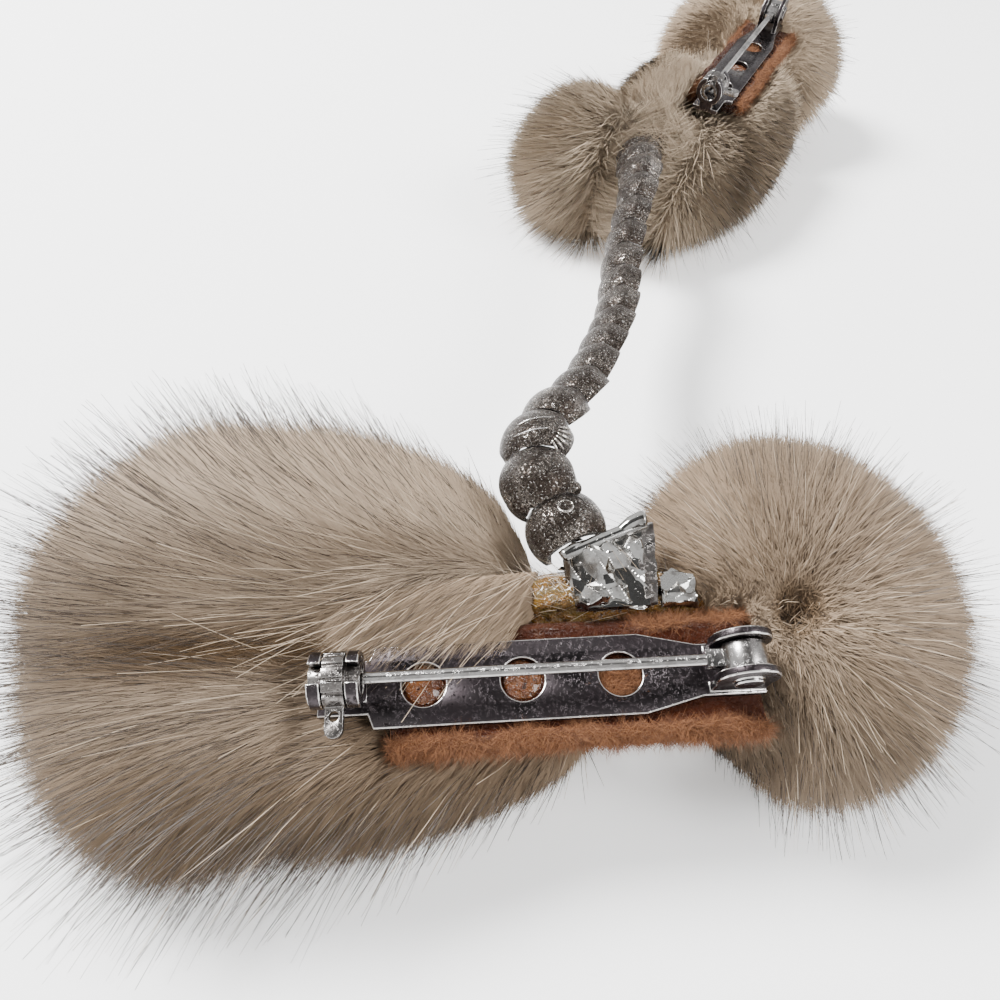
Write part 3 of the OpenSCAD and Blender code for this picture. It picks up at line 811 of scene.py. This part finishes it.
skins = {(side, key): skin(side, key, level=6 if (side, key) == ("near", "lobes") else 5)
         for side, key in RULES}
print("skins:", ", ".join(f"{s}_{k}" for s, k in skins))

# %% [markdown]
# Each skin is grown over in layers: velvety underfur first, then sparse guard hairs that stand
# off it. The near brooch fills the picture, so it gets the finer and denser strands.

# %% Grow the fur
# Columns: strands wanted, length, thickness (radius), lift, seed; in metres
UNDER = {
    ("near", "lobes"): [(45000, 0.0026, 0.00005, 0.5, 11), (45000, 0.0034, 0.00004, 0.7, 12),
                        (45000, 0.0042, 0.000034, 0.6, 16)],
    ("near", "ball"): [(48000, 0.0027, 0.00005, 0.8, 13)],
    ("far", "lobes"): [(36000, 0.0034, 0.00007, 0.7, 14)],
    ("far", "ball"): [(16000, 0.003, 0.00008, 0.8, 15)],
}
GUARD = {
    ("near", "lobes"): (4600, 0.0078, 0.00004, 0.5, 21),
    ("near", "ball"): (2600, 0.0046, 0.000032, 1.0, 22),
    ("far", "lobes"): (2000, 0.006, 0.00004, 0.6, 23),
    ("far", "ball"): (900, 0.0045, 0.00004, 0.9, 24),
}


def hairy_area(thing):
    """The skin's area, with each face counted by how dense its hair is."""
    layer = thing.data.attributes["dense"].data
    return sum(p.area * sum(layer[v].value for v in p.vertices) / len(p.vertices)
               for p in thing.data.polygons)


fur_pieces = []
share = 1.0
for (side, key), base in skins.items():
    area = hairy_area(base)
    for number, (count, length, thick, lift, seed) in enumerate(UNDER[side, key]):
        fur_pieces.append(grow(base, f"{side}_{key}_underfur_{number + 1}", {
            "Density": share * count / area, "Length": length, "Thickness": thick,
            "Lift": lift, "Scatter": 0.5 if key == "ball" else 0.26, "Clump Size": 0.0016,
            "Clump Pull": 0.25 if key == "ball" else 0.14,
            "Droop": 0.04, "Frizz": 0.0008, "Segments": 1, "Seed": seed,
            "Material": UNDERFUR[side]}))
    count, length, thick, lift, seed = GUARD[side, key]
    fur_pieces.append(grow(base, f"{side}_{key}_guard_hair", {
        "Density": share * count / area, "Length": length, "Spread": 0.4,
        "Thickness": thick, "Tip": 0.3, "Lift": lift, "Scatter": 0.2, "Clump Size": 0.003,
        "Clump Pull": 0.3, "Droop": 0.1, "Frizz": 0.0012, "Segments": 2,
        "Seed": seed, "Material": GUARD_HAIR}))

# %% [markdown]
# At the felt's corner beside the catch the near fur isn't combed outwards. It falls over the
# felt, and long cream hairs cross the bar. They grow from a small sheet that is only a seed bed
# inside the fur and is taken away afterwards.

# %% Hair that falls over the felt
def seed_bed(side, corners, nap, pale, brown_and_shade, dense=(1, 1, 1, 1)):
    """dense holds one value for each corner, so a bed can thin out on one side."""
    bed = make_mesh("seed_bed", [SEATS[side] @ Vector(c) for c in corners], [(0, 1, 2, 3)])
    way = SEATS[side].to_3x3().normalized() @ Vector(nap).normalized()
    add_values(bed.data, "nap", "FLOAT_VECTOR", [way] * 4)
    add_values(bed.data, "dense", "FLOAT", dense)
    for name, value in (("long", 1), ("brown_and_shade", brown_and_shade), ("pale", pale)):
        add_values(bed.data, name, "FLOAT", [value] * 4)
    return bed


bed = seed_bed("near", [(-13, 4.9, -1.2), (-0.3, 5.2, -1.2), (0.4, 9, -1.2), (-13, 8, -0.4)],
               (-0.68, -0.62, 0.42), 1, 0.5, (1, 1, 0.1, 0.1))
fur_pieces.append(grow(bed, "near_fallen_fur", {
    "Density": share * 14000 / hairy_area(bed), "Length": 0.0046, "Spread": 0.4,
    "Thickness": 0.00004, "Lift": 0.25, "Scatter": 0.2, "Clump Size": 0.0016,
    "Clump Pull": 0.2, "Droop": 0.25, "Frizz": 0.0008, "Segments": 2, "Seed": 31,
    "Material": UNDERFUR["near"]}))
fur_pieces.append(grow(bed, "near_crossing_hair", {
    "Density": 70 / hairy_area(bed), "Length": 0.0095, "Spread": 0.35,
    "Thickness": 0.000026, "Tip": 0.4, "Lift": 0.3, "Scatter": 0.25, "Clump Size": 0.004,
    "Clump Pull": 0.2, "Droop": 0.12, "Frizz": 0.0012, "Segments": 3, "Seed": 32,
    "Material": GUARD_HAIR}))
bpy.data.objects.remove(bed)

# %% Hair that hides the chain's far end
bed = seed_bed("far", [(-18.5, 4, -1.1), (-4.5, 4.9, -1.1), (-4.5, 9.8, -1.6), (-18.5, 9.8, -1.1)],
               (-0.5, 0.1, 0.7), 0, 0)
fur_pieces.append(grow(bed, "far_tab_fur", {
    "Density": share * 9000 / hairy_area(bed), "Length": 0.0044, "Spread": 0.35,
    "Thickness": 0.00007, "Lift": 0.3, "Scatter": 0.5, "Clump Size": 0.0018,
    "Clump Pull": 0.25, "Droop": 0.15, "Frizz": 0.001, "Segments": 1, "Seed": 33,
    "Material": UNDERFUR["far"]}))
bpy.data.objects.remove(bed)

layers = skins["far", "lobes"].data.attributes
layers["dense"].data.foreach_set("value", [item.value for item in layers["closing"].data])
fur_pieces.append(grow(skins["far", "lobes"], "far_closing_fur", {
    "Density": share * 12000 / hairy_area(skins["far", "lobes"]), "Length": 0.0085,
    "Spread": 0.35, "Thickness": 0.00008, "Lift": 0.3, "Scatter": 0.35, "Clump Size": 0.002,
    "Clump Pull": 0.2, "Droop": 0.1, "Frizz": 0.0012, "Segments": 2, "Seed": 34,
    "Material": UNDERFUR["far"]}))

# %% The fur rides with the brooches
for (side, key), base in skins.items():
    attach(base, BODY)
    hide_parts(f"{side}_fur_{key}")
for piece in fur_pieces:
    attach(piece, BODY)
print("fur pieces:", len(fur_pieces))

# %% [markdown]
# The felt is matted wool, orange-brown, puffed up along its edges and pressed flat under the
# bar. A box with a bump map would look like card, so its skin is a grid bent over the strip's
# outline, and the strand tree grows short wool fibres in all directions. Near the bar the glue
# has soaked in, and the wool there is dark and a little shiny.

# %% Felt materials
def make_felt(name, dry, wet):
    material, tree, shader = new_material(name, dry, 0.9, Specular_IOR_Level=0.3)
    soaked = attribute(tree, "soaked")
    edge = ranged(tree, patches(tree, 900, 0.5, 0.3), -0.35, 0.35)
    soaked = put(tree, "ShaderNodeMath", {0: soaked, 1: edge}, operation="ADD", use_clamp=True)
    speck = mix_color(tree, patches(tree, 2500, 0.5, 0.3), tuple(0.6 * v for v in dry), dry)
    color = mix_color(tree, soaked, speck, wet)
    tree.links.new(color, shader.inputs["Base Color"])
    tree.links.new(ranged(tree, soaked.outputs[0], 0.92, 0.16), shader.inputs["Roughness"])
    add_bump(tree, shader, patches(tree, 3200, 0.5, 0.4), 0.0004)
    return material


def make_fibre():
    material, tree, shader = new_material("wool_fibre", (0.2, 0.08, 0.03), 0.8)
    color = mix_color(tree, attribute(tree, "tint"), (0.1, 0.037, 0.014), (0.24, 0.1, 0.038))
    tree.links.new(color, shader.inputs["Base Color"])
    return material


FELT = make_felt("orange_felt", (0.17, 0.065, 0.024), (0.04, 0.01, 0.004))
WOOL = make_fibre()
print("felt materials ready")

# %% Felt strips
FELT_DEEP = 2.0
BAR_HALF = 2.9


def felt_point(u, v, w):
    """Maps a unit box to the strip. u runs along it, v across, w from below to the face."""
    x = FELT_X[0] + u * (FELT_X[1] - FELT_X[0])
    y = (2 * v - 1) * FELT_HALF
    swell = noise.noise(Vector((x * 0.35, y * 0.6, w)))
    puff = smooth(BAR_HALF + 0.3, FELT_HALF - 0.7, abs(y))
    z = -FELT_DEEP + w * (FELT_DEEP + puff * (0.35 + 0.4 * swell))
    end = min(smooth(0, 0.05, u), smooth(0, 0.05, 1 - u))
    side = smooth(0, 0.12, 0.5 - abs(v - 0.5))
    inset = 0.7 * abs(w - 0.5) * (1 - side)
    y -= math.copysign(inset, y) - 0.12 * swell
    x += (0.5 - u) * 0.6 * abs(w - 0.5) * (1 - end)
    z -= w * 0.45 * (1 - min(side, end) ** 0.5)
    return Vector((x, y, z))


def soaked(p):
    """Glue has run out from under the bar, and on the chain's side all the way to the tab.
    The felt in the last hole stayed dry."""
    wander = 0.8 * noise.noise(p * 0.45)
    beside_bar = 1 - smooth(BAR_HALF, BAR_HALF + 0.9, abs(p.y) + wander)
    beside_bar *= smooth(1.3, 2.6, math.hypot(p.x - 5.4, p.y))
    to_tab = smooth(0, 1.5, p.y) * (1 - smooth(6, 8.5, abs(p.x + 0.5 + wander)))
    return max(beside_bar, to_tab)


def make_felt_strip(side):
    bm = bmesh.new()
    bmesh.ops.create_cube(bm, size=1)
    bmesh.ops.subdivide_edges(bm, edges=bm.edges[:], cuts=36, use_grid_fill=True)
    local = [felt_point(v.co.x + 0.5, v.co.y + 0.5, v.co.z + 0.5) for v in bm.verts]
    for vertex, p in zip(bm.verts, local):
        vertex.co = SEATS[side] @ p
    mesh = mesh_from(bm, f"{side}_felt_strip")
    mesh.shade_smooth()
    wet = [soaked(p) for p in local]
    bare = [0 if p.z < -1.8 else max(0, 1 - 1.6 * w) for p, w in zip(local, wet)]
    add_values(mesh, "nap", "FLOAT_VECTOR", [(0, 0, 0)] * len(local))
    add_values(mesh, "dense", "FLOAT", bare)
    add_values(mesh, "long", "FLOAT", [1] * len(local))
    add_values(mesh, "soaked", "FLOAT", wet)
    mesh.materials.append(FELT)
    return add_object(mesh.name, mesh)


for side, count, thick in (("near", 20000, 0.000016), ("far", 4500, 0.00003)):
    strip = make_felt_strip(side)
    wool = grow(strip, f"{side}_wool", {
        "Density": share * count / hairy_area(strip), "Length": 0.0009, "Spread": 0.5,
        "Thickness": thick, "Lift": 0.25, "Scatter": 1.0, "Clump Size": 0.002,
        "Clump Pull": 0.2, "Droop": 0.1, "Frizz": 0.001, "Segments": 1, "Seed": 41,
        "Material": WOOL})
    for piece in (strip, wool):
        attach(piece, BODY)
    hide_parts(f"{side}_felt")

# %% [markdown]
# The metals differ by wear. The bars are dark tarnished steel, made darker still by a painted dark
# reflection; the stems and locks are brighter, the tabs are crumpled bright silver, and the links
# are dark silver with pits and painted glints, bright specks that stand in for sparkle. All share
# one recipe: a clean and a dull tone parted by the patches mask, which also steers roughness, and
# fine pits as a bump. Edges are lighter, partly rubbed bright and partly a painted highlight, so
# they have metals of their own.

# %% Metal materials
def metal(name, clean, dull, patch, rough, pit, depth, glint=None):
    """patch, pit and glint hold scale, amount and softness of tarnish, pits and painted glints
    (bright specks painted into the colour).
    """
    material, tree, shader = new_material(name, clean, 0.3, Metallic=1.0)
    tarnish, pits = patches(tree, *patch), patches(tree, *pit)
    color = mix_color(tree, tarnish, clean, dull)
    color = mix_color(tree, pits, color, tuple(0.45 * v for v in dull))
    if glint:
        # Painted glints: bright specks mixed into the colour stand in for sparkle.
        color = mix_color(tree, patches(tree, *glint), color, (0.85, 0.82, 0.78))
    tree.links.new(color, shader.inputs["Base Color"])
    worn = math_node(tree, "MAXIMUM", tarnish, pits)
    tree.links.new(ranged(tree, worn, *rough), shader.inputs["Roughness"])
    add_bump(tree, shader, math_node(tree, "SUBTRACT", 1, pits), depth)
    return material


# Dark tarnish, darkened further as a painted dark reflection of the shade overhead.
BAR_STEEL = metal("tarnished_steel", (0.065, 0.057, 0.06), (0.026, 0.021, 0.023),
                  (260, 0.5, 0.2), (0.18, 0.4), (3500, 0.62, 0.1), 0.00003)
LOCK_STEEL = metal("lock_steel", (0.24, 0.225, 0.215), (0.07, 0.062, 0.058),
                   (600, 0.5, 0.2), (0.16, 0.36), (3500, 0.62, 0.1), 0.00003)
PIN_STEEL = metal("bright_steel", (0.42, 0.41, 0.4), (0.16, 0.15, 0.145),
                  (300, 0.55, 0.2), (0.14, 0.3), (3500, 0.64, 0.1), 0.00002)
# Lighter steel for bevelled rims: partly rubbed wear, partly a painted highlight along the edges.
EDGE_STEEL = metal("edge_steel", (0.62, 0.6, 0.58), (0.35, 0.33, 0.32),
                   (900, 0.6, 0.2), (0.16, 0.3), (3500, 0.64, 0.1), 0.00002)
SILVER = metal("foil_silver", (0.46, 0.455, 0.44), (0.15, 0.14, 0.13),
               (420, 0.55, 0.12), (0.07, 0.22), (2600, 0.7, 0.06), 0.00003)
DARK_SILVER = metal("dark_silver", (0.21, 0.185, 0.164), (0.045, 0.035, 0.029),
                    (480, 0.45, 0.14), (0.15, 0.36), (5200, 0.51, 0.1), 0.00014,
                    (6500, 0.635, 0.04))
RUBBED_SILVER = metal("rubbed_silver", (0.5, 0.47, 0.43), (0.12, 0.1, 0.088),
                      (700, 0.56, 0.14), (0.2, 0.4), (4200, 0.6, 0.1), 0.00006)
print("metals ready")

# %% [markdown]
# The solids of bar, stem, lock and links have knife-sharp edges that no stamped part has. Their
# meshes stay as they are, because the checks read them. A merged copy of each gets a narrow
# bevel, which catches a line of light, and takes the solid's place in the picture.

# %% Bevelled copies of the metal parts
def body_of(node):
    groups = frame["record"]["behaviour"]["bodies"]
    return next(body for body, members in groups.items() if node in members)


def bevelled(node, width, materials, segments=2):
    """materials holds the metal of the faces and that of the lighter edges, partly rubbed bright
    and partly a painted highlight.
    """
    source = frame["nodes"][node]
    bm = bmesh.new()
    bm.from_mesh(source.data)
    bmesh.ops.remove_doubles(bm, verts=bm.verts, dist=1e-6)
    bmesh.ops.dissolve_limit(bm, angle_limit=math.radians(2), verts=bm.verts[:],
                             edges=bm.edges[:])
    mesh = mesh_from(bm, f"{node}_worn")
    for material in materials:
        mesh.materials.append(material)
    piece = add_object(mesh.name, mesh)
    bevel = piece.modifiers.new("edge", "BEVEL")
    bevel.width = width
    bevel.segments = segments
    bevel.limit_method = "ANGLE"
    bevel.angle_limit = math.radians(32)
    bevel.material = 1
    graph = bpy.context.evaluated_depsgraph_get()
    made = bpy.data.meshes.new_from_object(piece.evaluated_get(graph))
    piece.modifiers.remove(bevel)
    piece.data = made
    made.shade_smooth()
    made.set_sharp_from_angle(angle=math.radians(38))
    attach(piece, body_of(node))
    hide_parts(node)
    return piece


for side in ("near", "far"):
    bevelled(f"{side}_pin_bar", 0.0002, (BAR_STEEL, EDGE_STEEL))
    bevelled(f"{side}_pin_stem", 0.00004, (PIN_STEEL, EDGE_STEEL))
    bevelled(f"{side}_catch_lock", 0.00006, (LOCK_STEEL, PIN_STEEL))
    frame["nodes"][f"{side}_chain_tab"].data.materials.clear()
    frame["nodes"][f"{side}_chain_tab"].data.materials.append(SILVER)
for number in LINKS:
    bevelled(f"link_{number:02d}", 0.00007, (DARK_SILVER, RUBBED_SILVER))
print("bevelled:", 6 + len(LINKS))

# %% [markdown]
# The near tab is a scrap of silver sheet, creased like foil, with its chain end rolled into a
# lip. A sheet bent by noise looks like water, because foil stays flat between its creases and
# the creases are straight. So the sheet is folded up and down along several sets of lines that
# cross, which leaves flat facets of all sizes. The chip beside it is made the same way, and a
# smooth dark flap is folded down along the tab's right side.

# %% Crumpled foil
def grid_faces(cells):
    """Faces of a square grid of points that run row by row."""
    n = cells + 1
    corners = (j * n + i for j in range(cells) for i in range(cells))
    return [(k, k + 1, k + n + 1, k + n) for k in corners]


def creases(x, y, size, seed):
    """Height of a sheet folded along straight lines that run five ways."""
    height = 0
    for k in range(5):
        turn = seed + 1.37 * k
        bend = 0.5 * noise.noise(Vector((x * 0.25, y * 0.25, turn)))
        step = size * (0.7 + 0.35 * k)
        height += abs(((x * math.cos(turn) + y * math.sin(turn)) / step + bend + turn) % 2 - 1)
    return height - 2.5


def foil(name, corners, z, crumple, size, cells, seed, material=None):
    """A creased sheet over a torn four-cornered outline, with its edges turned down."""
    a, b, c, d = (Vector((*p, 0)) for p in corners)
    points = []
    for j in range(cells + 1):
        for i in range(cells + 1):
            u, v = i / cells, j / cells
            p = a.lerp(b, u).lerp(d.lerp(c, u), v)
            edge = smooth(0, 0.07, min(u, 1 - u, v, 1 - v))
            rag = 0.5 * noise.noise(Vector((p.x * 0.8, p.y * 0.8, seed)))
            out = (p - (a + b + c + d) / 4).normalized()
            p += out * rag * smooth(0.25, 0, min(u, 1 - u, v, 1 - v))
            p.z = z + crumple * creases(p.x, p.y, size, seed) - 0.6 * (1 - edge)
            points.append(p)
    sheet = make_mesh(name, [SEATS["near"] @ p for p in points], grid_faces(cells))
    solid = sheet.modifiers.new("thickness", "SOLIDIFY")
    solid.thickness = 0.00012
    sheet.data.materials.append(material or SILVER)
    sheet.data.shade_smooth()
    sheet.data.set_sharp_from_angle(angle=math.radians(12))
    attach(sheet, BODY)
    return sheet


foils = [
    foil("near_tab_foil", [(2.6, 4.9), (8.4, 4.9), (8.6, 11.7), (2.3, 9.1)],
         z=1.15, crumple=0.5, size=1.25, cells=70, seed=3.7),
    foil("near_tab_flap", [(7.9, 5.0), (9.0, 5.1), (9.7, 12.1), (8.2, 11.8)],
         z=0.85, crumple=0.06, size=1.6, cells=40, seed=5.1, material=LOCK_STEEL),
    foil("near_chip_foil", [(9.3, 5.0), (12.0, 4.9), (12.1, 7.4), (9.5, 8.0)],
         z=0.86, crumple=0.34, size=0.95, cells=40, seed=8.2),
]


print("faces of foil:", sum(len(sheet.data.polygons) for sheet in foils))

# %% Tubes, and the tab's lip
def tube(name, points, radii, flat, material, sides=14):
    """A closed tube through points in the near brooch's axes. flat squashes it upwards."""
    curve = [Vector(p) for p in points]
    rings = []
    for i, p in enumerate(curve):
        way = (curve[min(i + 1, len(curve) - 1)] - curve[max(i - 1, 0)]).normalized()
        across = way.cross(Vector((0, 0, 1))).normalized()
        above = across.cross(way)
        rings.append([p + radii[i] * (math.cos(t) * across + flat * math.sin(t) * above)
                      for t in (2 * math.pi * k / sides for k in range(sides))])
    vertices = [SEATS["near"] @ v for ring in rings for v in ring]
    faces = [tuple(range(sides))[::-1]]
    for i in range(len(rings) - 1):
        for k in range(sides):
            m = (k + 1) % sides
            faces.append((i * sides + k, i * sides + m, (i + 1) * sides + m, (i + 1) * sides + k))
    faces.append(tuple((len(rings) - 1) * sides + k for k in range(sides)))
    piece = make_mesh(name, vertices, faces)
    bm = bmesh.new()
    bm.from_mesh(piece.data)
    bmesh.ops.recalc_face_normals(bm, faces=bm.faces)
    bm.to_mesh(piece.data)
    bm.free()
    piece.data.materials.append(material)
    piece.data.shade_smooth()
    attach(piece, BODY)
    return piece


lip = []
for i in range(25):
    t = i / 24
    p = Vector((2.1, 9.2, 0.75)).lerp(Vector((8.9, 11.9, 1.0)), t)
    p += Vector((0, 0.25 * math.sin(t * 9), 0.18 * math.sin(t * 7 + 1)))
    lip.append((p, 0.42 + 0.25 * smooth(0.55, 1, t) + 0.12 * noise.noise(p * 1.7)))
tube("near_tab_lip", [p for p, r in lip], [r for p, r in lip], 0.85, SILVER)
print("points along the lip:", len(lip))

# %% [markdown]
# The first links are big in the picture, and they aren't plain domes. The first has a pit with
# a rubbed rim on its top. The third has two thin raised lines across it and a fan of short
# ridges at its side. Each is a thin tube laid on the dome.

# %% Lines on the first links
DOME_R = 3.6    # just over the domes' own radius, so the tubes lie on them
FIRST_DOME, THIRD_DOME = Vector((2.75, 12.35, -1.47)), Vector((1.57, 20.2, -1.3))


def on_dome(centre, way):
    return centre + DOME_R * Vector(way).normalized()


pit = Vector((-0.03, 0.19, 1))
ring = [on_dome(FIRST_DOME, pit + 0.17 * Vector((math.cos(t), math.sin(t), 0)))
        for t in (math.radians(15 * i) for i in range(25))]
rub = [0.04 + 0.09 * max(0, -math.sin(math.radians(15 * i))) for i in range(25)]
tube("link_01_pit_rim", ring, rub, 0.6, RUBBED_SILVER, 8)
for number, (y, start, end) in enumerate(((-0.05, -0.95, 0.1), (0.33, -0.75, 0.25))):
    line = [on_dome(THIRD_DOME, (start + (end - start) * i / 16, y + 0.05 * i / 16, 1))
            for i in range(17)]
    tube(f"link_03_line_{number + 1}", line, [0.055] * 17, 1, EDGE_STEEL, 8)
for number in range(6):
    turn = math.radians(-62 + 14 * number)
    ridge = [on_dome(THIRD_DOME, (lean * math.cos(turn), lean * math.sin(turn), 1))
             for lean in (0.36 + 0.06 * i for i in range(9))]
    tube(f"link_03_ridge_{number + 1}", ridge, [0.15 - 0.02 * abs(i - 4) for i in range(9)], 0.8,
         RUBBED_SILVER, 8)
print("lines on the first links:", 9)

# %% [markdown]
# Old glue holds tab and fur to the felt. It has set in amber drops, olive where hair is caught in
# it. It is made as a lumpy sheet over its solid, with a few hairs lying in it.

# %% Glue materials
def make_glue(name, pale, deep):
    material, tree, shader = new_material(name, deep, 0.07, Coat_Weight=0.5)
    tone = mix_color(tree, patches(tree, 700, 0.5, 0.15), pale, deep)
    color = mix_color(tree, patches(tree, 1900, 0.6, 0.06), tone, tuple(0.25 * v for v in deep))
    tree.links.new(color, shader.inputs["Base Color"])
    add_bump(tree, shader, patches(tree, 1400, 0.5, 0.3), 0.0004)
    return material


GLUE = make_glue("amber_glue", (0.12, 0.078, 0.018), (0.17, 0.068, 0.007))
SYRUP = make_glue("brown_glue", (0.11, 0.036, 0.008), (0.06, 0.015, 0.003))
RIM_GLUE = make_glue("yellow_glue", (0.42, 0.28, 0.09), (0.26, 0.13, 0.03))
print("glues ready: amber, brown and yellow")

# %% Beds and drops of glue
def glue_bed(side, corners, z, lump, cells):
    """A lumpy sheet with rounded corners, its edges run down into the fur."""
    a, b, c, d = (Vector((*p, 0)) for p in corners)
    points = []
    for j in range(cells + 1):
        for i in range(cells + 1):
            u, v = 2 * i / cells - 1, 2 * j / cells - 1
            reach = max(abs(u), abs(v))
            curve = (abs(u) ** 3 + abs(v) ** 3) ** (1 / 3) or 1
            pull = (reach / curve) * (1 + 0.16 * noise.noise(Vector((u * 2.2, v * 2.2, z))))
            u, v = 0.5 + 0.5 * u * pull, 0.5 + 0.5 * v * pull
            p = a.lerp(b, u).lerp(d.lerp(c, u), v)
            edge = 1 - smooth(0.55, 1, reach)
            rough = noise.noise(p * 0.9) + 0.6 * noise.noise(p * 2.3)
            p.z = z + edge * lump * (0.8 + rough) - 1.8 * (1 - edge)
            points.append(p)
    bed = make_mesh(f"{side}_glue_bed", [SEATS[side] @ p for p in points], grid_faces(cells))
    solid = bed.modifiers.new("thickness", "SOLIDIFY")
    solid.thickness = 0.0003
    bed.data.materials.append(GLUE)
    bed.data.shade_smooth()
    add_values(bed.data, "nap", "FLOAT_VECTOR", [SEATS[side].to_3x3().normalized() @ Vector(
        (-1, 0.5, 0.1))] * len(points))
    for name in ("dense", "long", "pale"):
        add_values(bed.data, name, "FLOAT", [1] * len(points))
    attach(bed, BODY)
    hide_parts(f"{side}_glue")
    return bed


def glue_drop(name, side, x, y, radius, height, seed):
    """A flat dome that has set in one of the bar's holes, closed underneath."""
    sides, rings = 24, 7
    points, faces = [], []
    for k in range(rings):
        away = radius * math.cos(0.5 * math.pi * k / rings)
        for j in range(sides):
            t = 2 * math.pi * j / sides
            p = Vector((x + away * math.cos(t), y + away * math.sin(t), 0))
            rough = noise.noise(p * 1.4 + Vector((0, 0, seed)))
            p.z = 0.03 + height * (1 - (away / radius) ** 2) * (1 + 0.5 * rough)
            points.append(p)
    points.append(Vector((x, y, 0.03 + height)))
    for k in range(rings - 1):
        for j in range(sides):
            m = (j + 1) % sides
            faces.append((k * sides + j, k * sides + m, (k + 1) * sides + m, (k + 1) * sides + j))
    last = (rings - 1) * sides
    faces += [(last + j, last + (j + 1) % sides, len(points) - 1) for j in range(sides)]
    faces.append(tuple(range(sides))[::-1])
    drop = make_mesh(name, [SEATS[side] @ p for p in points], faces)
    drop.data.materials.append(SYRUP)
    drop.data.shade_smooth()
    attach(drop, BODY)


for side in SEATS:
    for number, x in enumerate((-8.6, -1.6)):
        glue_drop(f"{side}_hole_glue_{number + 1}", side, x, 0.1, radius=1.42, height=0.32,
                  seed=number)

rim = []
for i in range(19):
    t = math.radians(-60 + 12 * i)
    around = Vector((1.75 * math.cos(t), 1.75 * math.sin(t), -0.6 - 0.1 * math.sin(3 * t)))
    rim.append(POLE + around)
tube("near_hole_rim", rim, [0.12 + 0.22 * math.sin(math.pi * i / 18) for i in range(19)], 0.7,
     RIM_GLUE)

for side, corners, z in (
        ("near", [(-1.8, 4.3), (13.6, 4.3), (13.2, 9.0), (-2.2, 9.2)], -0.3),
        ("far", [(-12.6, 4.6), (-3.2, 4.6), (-3.4, 8.4), (-12.4, 8.4)], -2.1)):
    bed = glue_bed(side, corners, z, lump=0.7, cells=48)
    stuck = grow(bed, f"{side}_stuck_hair", {
        "Density": share * 160 / hairy_area(bed), "Length": 0.0036, "Spread": 0.5,
        "Thickness": 0.000022, "Lift": 0.12, "Scatter": 0.9, "Clump Size": 0.003,
        "Clump Pull": 0.3, "Droop": 0.05, "Frizz": 0.001, "Segments": 3, "Seed": 51,
        "Material": GUARD_HAIR})
    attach(stuck, BODY)
print("glue ready")
